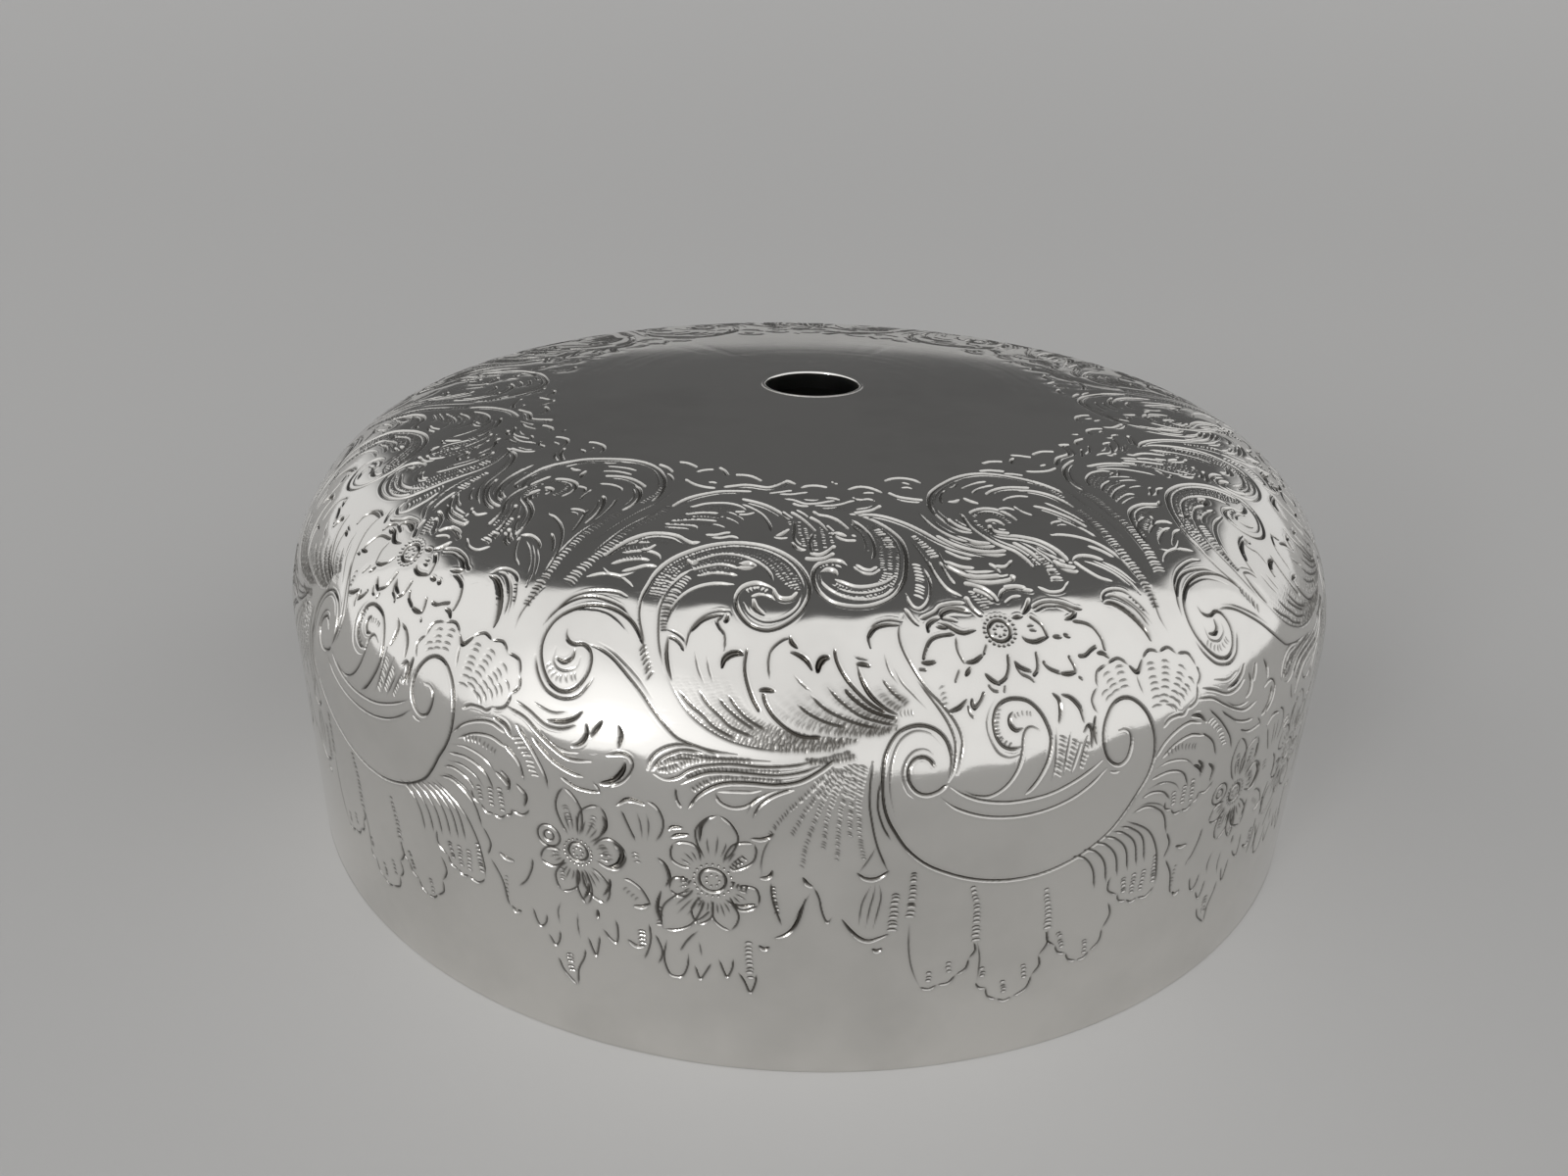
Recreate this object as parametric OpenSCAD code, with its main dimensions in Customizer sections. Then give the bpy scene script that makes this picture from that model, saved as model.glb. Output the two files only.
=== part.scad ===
// Round domed dish cover in chased silver plate, shown with its knob taken off.
// The shell is a straight wall, a shoulder arc and a nearly flat crown arc, each tangent to the next.
// A flanged ferrule lines the knob hole, a backing ring doubles the crown around it,
// and a band stiffens the foot of the wall from inside.
// Millimetres, +Z up, origin at the centre of the foot.

/* [Shell] */
// Outside diameter of the wall
base_d = 254; // [200:1:320]
// Height of the straight part of the wall
wall_h = 53.5; // [20:0.5:90]
// Outside radius of the shoulder between wall and crown
shoulder_r = 39.5; // [15:0.5:60]
// Rise of the crown's middle above the top of the shoulder's circle
crown_rise = 4.6; // [2:0.1:20]
// Thickness of the metal sheet
sheet_t = 0.8; // [0.5:0.1:1.5]

/* [Knob hole] */
// Radius of the ferrule's bore, which takes the shank of a knob
bore_r = 11.6; // [6:0.1:18]
// Wall thickness of the ferrule
ferrule_wall = 0.8; // [0.7:0.1:1.4]
// Radius that rounds the ferrule's upper lip into its bore
lip_round = 0.6; // [0.2:0.1:0.6]
// Width of the ferrule's flange beyond its tube
flange_w = 3.6; // [2:0.1:8]
// Thickness of the ferrule's flange
flange_t = 1.0; // [0.6:0.1:2]
// Length of tube that stands out below the flange
tail_h = 0.6; // [0.4:0.1:3]
// Width of the backing ring around the ferrule
backing_w = 8.5; // [5:0.5:20]
// Thickness of the backing ring
backing_t = 1.5; // [0.8:0.1:3]

/* [Foot] */
// Height of the stiffening band inside the foot
band_h = 7; // [4:0.5:15]
// Thickness of the stiffening band
band_t = 1.2; // [0.8:0.1:2.5]
// Radius that rounds the band's upper inner edge
band_round = 0.7; // [0.3:0.1:0.7]

/* [Fit] */
// Gap that the solder fills between pieces that are joined
solder_gap = 0.3; // [0.1:0.05:0.5]

/* [Hidden] */

silver = [0.80, 0.79, 0.76];
inner_silver = [0.68, 0.67, 0.64];

// Overshoot of a cutting shape past the face that it opens
cut_past = 1;
// Segments of a turned piece, and of the crown's very large circle
turn_segments = 240;
crown_segments = 2880;

wall_r = base_d / 2;
dome_h = wall_h + shoulder_r + crown_rise;
// Centre of the shoulder's arc, and the crown's radius and centre that make the two arcs tangent
shoulder_x = wall_r - shoulder_r;
crown_r = (pow(shoulder_x, 2) + 2 * shoulder_r * crown_rise + pow(crown_rise, 2)) / (2 * crown_rise);
crown_z = dome_h - crown_r;
tangent_angle = atan2(wall_h - crown_z, shoulder_x);

hole_r = bore_r + ferrule_wall + solder_gap;
ferrule_r = bore_r + ferrule_wall;
flange_r = ferrule_r + flange_w;
band_r = wall_r - sheet_t - solder_gap;

// Depths below the crown's outer surface, going inwards
backing_top = sheet_t + solder_gap;
backing_bottom = backing_top + backing_t;
flange_top = backing_bottom + solder_gap;

// Height of the crown's surface, inset by a depth, at a radius from the axis
function crown_height(x, inset) = crown_z + sqrt(pow(crown_r - inset, 2) - pow(x, 2));

// Half section of the space under the dome's surface when that surface is inset by a depth
module dome_section(inset) {
    square([wall_r - inset, wall_h]);
    translate([shoulder_x, wall_h])
        intersection() {
            circle(r = shoulder_r - inset, $fn = turn_segments);
            square(shoulder_r);
        }
    intersection() {
        translate([0, crown_z])
            circle(r = crown_r - inset, $fn = crown_segments);
        square([shoulder_x + (shoulder_r - inset) * cos(tangent_angle), dome_h]);
    }
}

// Rectangle from its lower left corner, with its upper left corner rounded
module rounded_bar(corner, size, round_r) {
    translate(corner) {
        square([size.x, size.y - round_r]);
        translate([round_r, 0])
            square([size.x - round_r, size.y]);
        translate([round_r, size.y - round_r])
            circle(r = round_r, $fn = turn_segments);
    }
}

// Sheet dome, open below, with the knob hole in its crown
module dome_shell() {
    color(silver)
        rotate_extrude($fn = turn_segments)
            difference() {
                dome_section(0);
                dome_section(sheet_t);
                translate([0, -cut_past])
                    square([wall_r - sheet_t, 2 * cut_past]);
                square([hole_r, dome_h + cut_past]);
            }
}

// Short tube that lines the knob hole, flush with the crown, with a flange under the backing ring
module crown_ferrule() {
    lip_z = crown_height(hole_r, 0);
    flange_z = crown_height(flange_r, flange_top) - flange_t;
    tail_z = flange_z - tail_h;
    color(silver)
        rotate_extrude($fn = turn_segments) {
            rounded_bar([bore_r, tail_z], [ferrule_wall, lip_z - tail_z], lip_round);
            translate([bore_r, flange_z])
                square([ferrule_wall + flange_w, flange_t]);
        }
}

// Ring soldered under the crown, curved as the crown is
module backing_ring() {
    color(inner_silver)
        rotate_extrude($fn = turn_segments)
            intersection() {
                difference() {
                    dome_section(backing_top);
                    dome_section(backing_bottom);
                }
                translate([hole_r, wall_h])
                    square([backing_w, dome_h]);
            }
}

// Band soldered inside the foot of the wall, flush with its lower edge
module rim_band() {
    color(inner_silver)
        rotate_extrude($fn = turn_segments)
            rounded_bar([band_r - band_t, 0], [band_t, band_h], band_round);
}

dome_shell();
crown_ferrule();
backing_ring();
rim_band();
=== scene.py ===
"""Round domed dish cover in chased silver plate, seen with its knob taken off.

The dome's skin is a fine grid of rings. A chaser presses grooves into one sixth of it, mark by mark,
and the six repeats make up the whole ornament. Lengths are in millimetres and angles in degrees:
an angle of 0 faces the camera, and s is the arc length up the dome from its foot.
"""

import math

import bpy
import numpy as np
from mathutils import Matrix, Vector


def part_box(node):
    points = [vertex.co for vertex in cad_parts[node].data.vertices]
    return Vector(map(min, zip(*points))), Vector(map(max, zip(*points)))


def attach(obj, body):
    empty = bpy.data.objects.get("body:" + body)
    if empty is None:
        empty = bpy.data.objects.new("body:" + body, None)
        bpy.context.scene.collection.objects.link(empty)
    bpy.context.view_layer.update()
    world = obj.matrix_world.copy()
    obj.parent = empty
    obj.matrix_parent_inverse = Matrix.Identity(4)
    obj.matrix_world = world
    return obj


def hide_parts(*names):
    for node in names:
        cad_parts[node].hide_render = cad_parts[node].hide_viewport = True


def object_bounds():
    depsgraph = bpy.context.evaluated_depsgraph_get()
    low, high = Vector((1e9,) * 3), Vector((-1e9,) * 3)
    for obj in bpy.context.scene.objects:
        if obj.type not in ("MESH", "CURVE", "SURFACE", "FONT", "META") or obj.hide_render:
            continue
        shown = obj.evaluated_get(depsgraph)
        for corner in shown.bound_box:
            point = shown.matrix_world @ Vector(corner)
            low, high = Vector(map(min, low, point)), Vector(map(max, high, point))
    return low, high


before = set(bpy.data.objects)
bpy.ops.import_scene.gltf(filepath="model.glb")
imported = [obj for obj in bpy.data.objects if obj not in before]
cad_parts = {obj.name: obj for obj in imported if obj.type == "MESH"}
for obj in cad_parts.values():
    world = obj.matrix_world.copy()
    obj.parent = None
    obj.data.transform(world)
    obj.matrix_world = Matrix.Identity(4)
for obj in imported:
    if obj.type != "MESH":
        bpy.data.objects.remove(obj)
cad_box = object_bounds()

MM = 0.001

# The dome's section: a straight wall, a shoulder arc and a wide crown arc, each tangent to the next
WALL_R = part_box("dome_shell")[1].x / MM
WALL_H = 53.5
SHOULDER_R = 39.5
CROWN_RISE = 4.6
SHEET = 0.8
# The crown's edge runs up to the ferrule, because solder fills the gap there
SEAM_R = 12.42
EDGE_ROUND = 0.2

SHOULDER_X = WALL_R - SHOULDER_R
CROWN_R = (SHOULDER_X ** 2 + 2 * SHOULDER_R * CROWN_RISE + CROWN_RISE ** 2) / (2 * CROWN_RISE)
CROWN_Z = WALL_H + SHOULDER_R + CROWN_RISE - CROWN_R
TANGENT = math.atan2(WALL_H - CROWN_Z, SHOULDER_X)
SHOULDER_S = WALL_H + SHOULDER_R * TANGENT
SEAM_S = SHOULDER_S + CROWN_R * (math.acos(SEAM_R / CROWN_R) - TANGENT)

# One repeat of the ornament, as a raster of degrees by millimetres
REPEATS = 6
SECTOR = 360 / REPEATS
FIRST_DEG = -24.0
LOW_S, HIGH_S = 10.0, 143.0
COLS, ROWS = 1320, 1330
DEG_STEP = SECTOR / COLS
S_STEP = (HIGH_S - LOW_S) / ROWS

# Widths of the chaser's marks, of a cut's sharp ends, and an even mark's share of width at its ends
BOLD, LINE, FINE, TICK, CUT = 0.72, 0.58, 0.46, 0.42, 0.88
CUT_END, MARK_END = 0.3, 0.35
# Depth of a mark one millimetre wide, and the width past which marks get no deeper
DEPTH, DEEPEST = 0.5, 1.1
# The lip that rises beside a mark: its share of the depth, its place and its spread in half widths
LIP, LIP_PLACE, LIP_SPREAD = 0.16, 1.35, 0.4
# Marks on the crown: the heights over which they become wider, how much wider they are there,
# and how far from a double line's first groove the second one runs
CROWN_FROM, CROWN_WIDER, BESIDE = (95.0, 99.0), 1.28, 1.15
# How unevenly ticks are set: as a share of their gap along the row, and in millimetres any way
UNEVEN_GAP, UNEVEN_PLACE = 0.12, 0.1
# Length of a path's steps, and how many of them are pressed at once
PATH_STEP, CHUNK = 0.3, 8


def section(s):
    """Radius and height of the outer surface at an arc length, and its normal's tilt in radians."""
    s = np.asarray(s, float)
    turn = np.clip((s - WALL_H) / SHOULDER_R, 0, TANGENT)
    on_crown = s > SHOULDER_S
    tilt = np.where(on_crown, TANGENT + (s - SHOULDER_S) / CROWN_R, turn)
    r = np.where(on_crown, CROWN_R * np.cos(tilt), SHOULDER_X + SHOULDER_R * np.cos(turn))
    z = np.where(on_crown, CROWN_Z + CROWN_R * np.sin(tilt), WALL_H + SHOULDER_R * np.sin(turn))
    return r, np.where(s < WALL_H, s, z), tilt


def degree_length(s):
    """Millimetres in one degree round the dome at an arc length."""
    return np.radians(section(s)[0])


def smooth_path(points):
    """Points close together on a smooth curve through a few (degree, millimetre) points."""
    p = np.array(points, float)
    if len(p) == 2:
        p = np.array([p[0], (p[0] + p[1]) / 2, p[1]])
    ends = np.vstack([2 * p[0] - p[1], p, 2 * p[-1] - p[-2]])
    scale = degree_length(p[:, 1].mean())
    out = []
    for a, b, c, d in zip(ends, ends[1:], ends[2:], ends[3:]):
        length = np.hypot((c[0] - b[0]) * scale, c[1] - b[1])
        t = np.linspace(0, 1, max(2, int(length / PATH_STEP) + 1), endpoint=False)[:, None]
        bend = (2 * a - 5 * b + 4 * c - d) * t ** 2 + (3 * b - a - 3 * c + d) * t ** 3
        out.append(0.5 * (2 * b + (c - a) * t + bend))
    out.append(p[-1:])
    return np.vstack(out)


class Chaser:
    """Presses marks into one repeat of the ornament."""

    def __init__(self, seed=3):
        self.groove = np.zeros((ROWS, COLS), np.float32)
        self.lip = np.zeros((ROWS, COLS), np.float32)
        self.ticked = np.zeros((ROWS, COLS), np.float32)
        self.draw = np.random.default_rng(seed)

    def press(self, path, width, dense=False):
        """Presses one groove along a path of close points. Its depth follows its width.

        A dense mark is one of many close ticks, which dull the metal between them.
        """
        width = width * np.interp(path[:, 1], CROWN_FROM, (1, 1 if dense else CROWN_WIDER))
        for first in range(0, len(path) - 1, CHUNK):
            self.press_chunk(path[first:first + CHUNK + 1], width[first:first + CHUNK + 1], dense)

    def press_chunk(self, path, width, dense):
        """Presses a few steps of a path into the cells around them."""
        scale = degree_length(path[:, 1].mean())
        reach = width.max()
        low = int((path[:, 1].min() - reach - LOW_S) / S_STEP)
        high = int((path[:, 1].max() + reach - LOW_S) / S_STEP) + 1
        left = math.floor((path[:, 0].min() - reach / scale - FIRST_DEG) / DEG_STEP)
        right = math.ceil((path[:, 0].max() + reach / scale - FIRST_DEG) / DEG_STEP)
        rows = np.arange(max(low, 0), min(high, ROWS - 1) + 1)
        cols = np.arange(left, right + 1)
        x = ((FIRST_DEG + cols * DEG_STEP) * scale)[None, :, None]
        y = (LOW_S + rows * S_STEP)[:, None, None]
        ax, ay = path[:-1, 0] * scale, path[:-1, 1]
        dx, dy = np.diff(path[:, 0]) * scale, np.diff(path[:, 1])
        along = np.clip(((x - ax) * dx + (y - ay) * dy) / (dx ** 2 + dy ** 2 + 1e-12), 0, 1)
        half = (width[:-1] + along * np.diff(width)) / 2 + 1e-6
        away = np.hypot(x - ax - along * dx, y - ay - along * dy) / half
        nearest = away.argmin(-1)[..., None]
        half = np.take_along_axis(half, nearest, -1)[..., 0]
        away = np.take_along_axis(away, nearest, -1)[..., 0]
        depth = DEPTH * np.minimum(2 * half, DEEPEST)
        groove = depth * np.clip(1 - away ** 2, 0, None) ** 1.5
        lip = LIP * depth * np.exp(-((away - LIP_PLACE) / LIP_SPREAD) ** 2)
        place = np.ix_(rows, cols % COLS)
        self.groove[place] = np.maximum(self.groove[place], groove)
        self.lip[place] = np.maximum(self.lip[place], lip)
        if dense:
            share = np.clip(2 - away, 0, 1) * np.minimum(2 * half / TICK, 1)
            self.ticked[place] = np.maximum(self.ticked[place], share)

    def mark(self, points, width, taper=0.12, dense=False):
        """A groove of even width that narrows at both ends."""
        path = smooth_path(points)
        t = np.linspace(0, 1, len(path))
        full = np.clip(np.minimum(t, 1 - t) / taper, 0, 1)
        self.press(path, width * (MARK_END + (1 - MARK_END) * full), dense)

    def bold(self, *points):
        self.mark(points, BOLD, 0.04)

    def double(self, *points):
        """A bold line with a finer one beside it on its hollow side, where it lies on the crown."""
        self.bold(*points)
        path = smooth_path(points)
        scale = degree_length(path[:, 1].mean())
        way = np.gradient(path * (scale, 1), axis=0)
        way /= np.hypot(*way.T)[:, None] + 1e-9
        turn = np.sign(np.sum(way[:-1, 0] * way[1:, 1] - way[:-1, 1] * way[1:, 0]))
        beside = path + turn * BESIDE * np.stack([-way[:, 1], way[:, 0]], -1) / (scale, 1)
        t = np.linspace(0, 1, len(path))
        ends = np.clip(np.minimum(t, 1 - t) / 0.2, 0, 1)
        self.press(beside, FINE * ends * np.interp(path[:, 1], CROWN_FROM, (0, 1)))

    def line(self, *points):
        self.mark(points, LINE)

    def fine(self, *points):
        self.mark(points, FINE, 0.3)

    def swell(self, *points, width=CUT):
        """A crescent, wide in the middle and sharp at both ends."""
        path = smooth_path(points)
        t = np.linspace(0, 1, len(path))
        self.press(path, CUT_END + (width - CUT_END) * np.sin(np.pi * t) ** 0.6)

    def ladder(self, *points, half=0.8, gap=0.95, lean=0.0, width=TICK, dense=False):
        """Short ticks across a path, a gap apart.

        Half a tick's length and its width may each be a few values, spread along the path.
        """
        path = smooth_path(points)
        scale = degree_length(path[:, 1].mean())
        mm = path * (scale, 1)
        run = np.concatenate([[0], np.cumsum(np.hypot(*np.diff(mm, axis=0).T))])

        def spread(values):
            return np.interp(run, np.linspace(0, run[-1], np.size(values)), np.ravel(values))

        half, width = spread(half), spread(width)
        for at in np.arange(gap / 2, run[-1], gap):
            at += self.draw.uniform(-UNEVEN_GAP, UNEVEN_GAP) * gap
            i = int(np.clip(np.searchsorted(run, at), 1, len(run) - 1))
            way = (mm[i] - mm[i - 1]) / np.hypot(*(mm[i] - mm[i - 1]))
            reach = half[i] * (np.array([-way[1], way[0]]) + lean * way)
            middle = mm[i] + self.draw.uniform(-UNEVEN_PLACE, UNEVEN_PLACE, 2)
            tick = np.array([middle - reach, middle - 0.25 * half[i] * way, middle + reach]) / (scale, 1)
            self.mark(tick, width[i], 0.25, dense)

    def strips(self, edge_a, edge_b, shares):
        """Paths at shares of the way from one path to another, and the strip's width along them."""
        spots = np.linspace(0, 1, 12)
        a, b = smooth_path(edge_a), smooth_path(edge_b)
        a = a[(spots * (len(a) - 1)).astype(int)]
        b = b[(spots * (len(b) - 1)).astype(int)]
        scale = degree_length((a[:, 1] + b[:, 1]) / 2)
        width = np.hypot((b[:, 0] - a[:, 0]) * scale, b[:, 1] - a[:, 1])
        return [a + share * (b - a) for share in shares], width

    def hatch(self, edge_a, edge_b, rows, gap=0.66, lean=0.0, width=TICK):
        """Rows of short ticks side by side, which fill the strip between two paths."""
        paths, across = self.strips(edge_a, edge_b, (np.arange(rows) + 0.5) / rows)
        for path in paths:
            self.ladder(*path, half=0.46 * across / rows, gap=gap, lean=lean, width=width, dense=True)

    def veins(self, edge_a, edge_b, count):
        """Fine lines spread between two paths."""
        for path in self.strips(edge_a, edge_b, np.arange(1, count + 1) / (count + 1))[0]:
            self.fine(*path)

    def scallops(self, *points, bulge=0.3):
        """Arcs from point to point, standing out to the right of their way by a share of its length."""
        for a, b in zip(points, points[1:]):
            a, b = np.array(a, float), np.array(b, float)
            scale = degree_length((a[1] + b[1]) / 2)
            way = (b - a) * (scale, 1)
            out = np.array([way[1], -way[0]]) * bulge / (scale, 1)
            arc = [a + f * (b - a) + out * np.sin(np.pi * f) for f in (0, 0.2, 0.5, 0.8, 1)]
            self.mark(arc, LINE, 0.2)

    def petal(self, base, tip, belly):
        """Two bowed edges from a base to a tip, and creases between them."""
        base, tip = np.array(base, float), np.array(tip, float)
        scale = degree_length((base[1] + tip[1]) / 2)
        way = (tip - base) * (scale, 1)
        side = belly * np.array([way[1], -way[0]]) / np.hypot(*way) / (scale, 1)
        for sign in (-1, 1):
            bow = ((0.05, 0.45), (0.3, 0.85), (0.6, 1.0), (0.85, 0.6), (1, 0))
            self.line(*(base + f * (tip - base) + sign * w * side for f, w in bow))
        for shift in (-0.3, 0.05, 0.35):
            bow = ((0.12, 0.8), (0.35, 1.3), (0.62 - 0.4 * abs(shift), 1.4))
            self.fine(*(base + f * (tip - base) + shift * w * side for f, w in bow))

    def ring(self, centre, radius, width, dots=0):
        """A small circle, whole or as a row of dots."""
        turn = np.linspace(0, 2 * np.pi, (dots or 24) + 1)
        scale = degree_length(centre[1])
        circle = np.stack([centre[0] + radius / scale * np.cos(turn),
                           centre[1] + radius * np.sin(turn)], -1)
        if not dots:
            self.press(smooth_path(circle), width)
        for spot in circle[:dots]:
            self.press(np.array([spot, spot + 0.05]), width)

    def boss(self, centre, radius):
        """The middle of a flower, with a beaded edge."""
        self.ring(centre, radius, BOLD)
        self.ring(centre, radius * 1.42, LINE, dots=20)
        self.ring(centre, radius * 0.5, LINE, dots=7)

    def flower(self, centre, boss, petals):
        """A boss, and petals given by tip and belly."""
        self.boss(centre, boss)
        scale = degree_length(centre[1])
        for tip_deg, tip_s, belly in petals:
            way = np.array([(tip_deg - centre[0]) * scale, tip_s - centre[1]])
            start = way / np.hypot(*way) * boss * 1.6 / (scale, 1)
            self.petal(np.array(centre) + start, (tip_deg, tip_s), belly)


def cartouche(c):
    """One long line makes the left volute, the bowl and the right volute around a plain field."""
    c.bold((10.3, 63.4), (10.6, 67), (10.2, 70.5), (9.2, 72.6), (7.8, 73.2), (6.4, 72), (5.5, 69),
           (5.2, 65.5), (5.25, 61), (5.6, 57.5), (6.3, 54.3), (7.4, 50.6), (9, 47.3), (11, 44.9),
           (13, 43.2), (15, 42.2), (17, 41.8), (19, 42), (21, 43), (23, 44.7), (25, 47.6), (26.3, 51),
           (27.3, 54.5), (28.2, 57.5), (28.8, 61), (28.9, 65), (28.5, 68.5), (27.8, 71), (26.9, 72.6),
           (25.9, 73), (24.9, 72), (24.1, 69.5), (23.8, 66.5), (24, 63.8), (24.6, 62), (25.3, 61.4),
           (26, 62.3), (26.4, 64.5), (26.4, 66.5), (25.9, 67.5), (25.3, 67.5))
    c.bold((10.2, 63), (9.5, 61.8), (8.6, 61.3), (7.8, 62), (7.25, 63.8), (7.2, 65.8), (7.6, 67.4),
           (8.3, 67.9), (8.9, 67.2), (9.2, 66))
    c.fine((7.8, 60.6), (7.1, 62), (6.75, 64.5), (6.95, 67), (7.6, 68.8), (8.5, 69.1), (9.2, 68))
    c.fine((9.9, 69.5), (9, 71.6), (7.8, 72.2), (6.7, 71), (6.05, 68.5), (5.75, 65), (5.8, 61.5),
           (6.2, 57.5))
    c.line((10.4, 62.7), (11.5, 61), (13, 59.5), (15, 58.6), (17, 58.5), (19, 59), (21, 60.4), (22.6, 62),
           (23.6, 63.3))
    c.line((9.7, 60.8), (11, 58.5), (13, 56.6), (15, 55.7), (17, 55.5), (19, 56), (21, 57.3),
           (22.6, 59.2), (23.6, 60.9), (24.1, 61.6))
    c.fine((24.2, 60.8), (24.7, 60.3), (25.3, 60.2))
    c.swell((23.2, 71), (23.05, 68.5), (23.1, 66))


def comma_scroll(c):
    """A comma with a hatched rim stands in the cartouche, with a small leaf at its right."""
    c.line((11.6, 61.6), (12.6, 60.4), (13.8, 60.2), (15, 61.6), (15.9, 64), (16.4, 66.8), (16.6, 69.5),
           (16.9, 70.9), (17.4, 71.2), (18.1, 70.3))
    c.bold((16.4, 68), (15.6, 67.9), (14.8, 68.7), (14.3, 70.5), (14.2, 72.8), (14.5, 74.8), (15.1, 76),
           (16, 76.4), (17.2, 75.8), (18.1, 74), (18.7, 71.5), (19, 68.5), (18.7, 65.5), (18, 62.7),
           (17.3, 60.8), (16.6, 59.5))
    c.fine((16.5, 66.9), (15.4, 66.4), (14.4, 67.5), (13.8, 70), (13.6, 72.5), (13.9, 74.8), (14.6, 76.8))
    c.swell((16.6, 71.1), (16, 71), (15.6, 72), (15.6, 73.3), (15.9, 74.1))
    c.ladder((15.5, 68.4), (14.6, 70), (14.45, 72.5), (14.8, 74.9), half=0.55, gap=0.7)
    c.ladder((15.9, 73.2), (16.6, 73.7), (17.4, 73.5), half=0.5, gap=0.7)
    c.swell((19.6, 76.3), (20.1, 75), (20.1, 73), (19.8, 71))
    c.swell((20.4, 75.8), (21.2, 75), (21.9, 73), (22.1, 70.3))
    c.swell((22, 68.6), (22.5, 69.7), (22.8, 68.3), (22.6, 65.6))
    c.fine((19.5, 70.5), (19.4, 67), (19.2, 63.5), (18.8, 61))
    c.fine((20.8, 69.3), (20.3, 65.5), (19.9, 61.5))
    c.fine((21.6, 67), (21, 63.9), (20.6, 61.6))
    c.fine((22.3, 68), (21.7, 64.8), (21.3, 62))
    c.ladder((20.1, 69), (19.8, 65.5), (19.4, 62), half=0.7, gap=0.8, lean=0.5)
    c.ladder((21.2, 68), (20.7, 65), (20.3, 62.4), half=0.6, gap=0.8, lean=0.5)
    c.ladder((22.4, 67), (21.9, 64.5), (21.6, 62.8), half=0.5, gap=0.8, lean=0.5)


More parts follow.
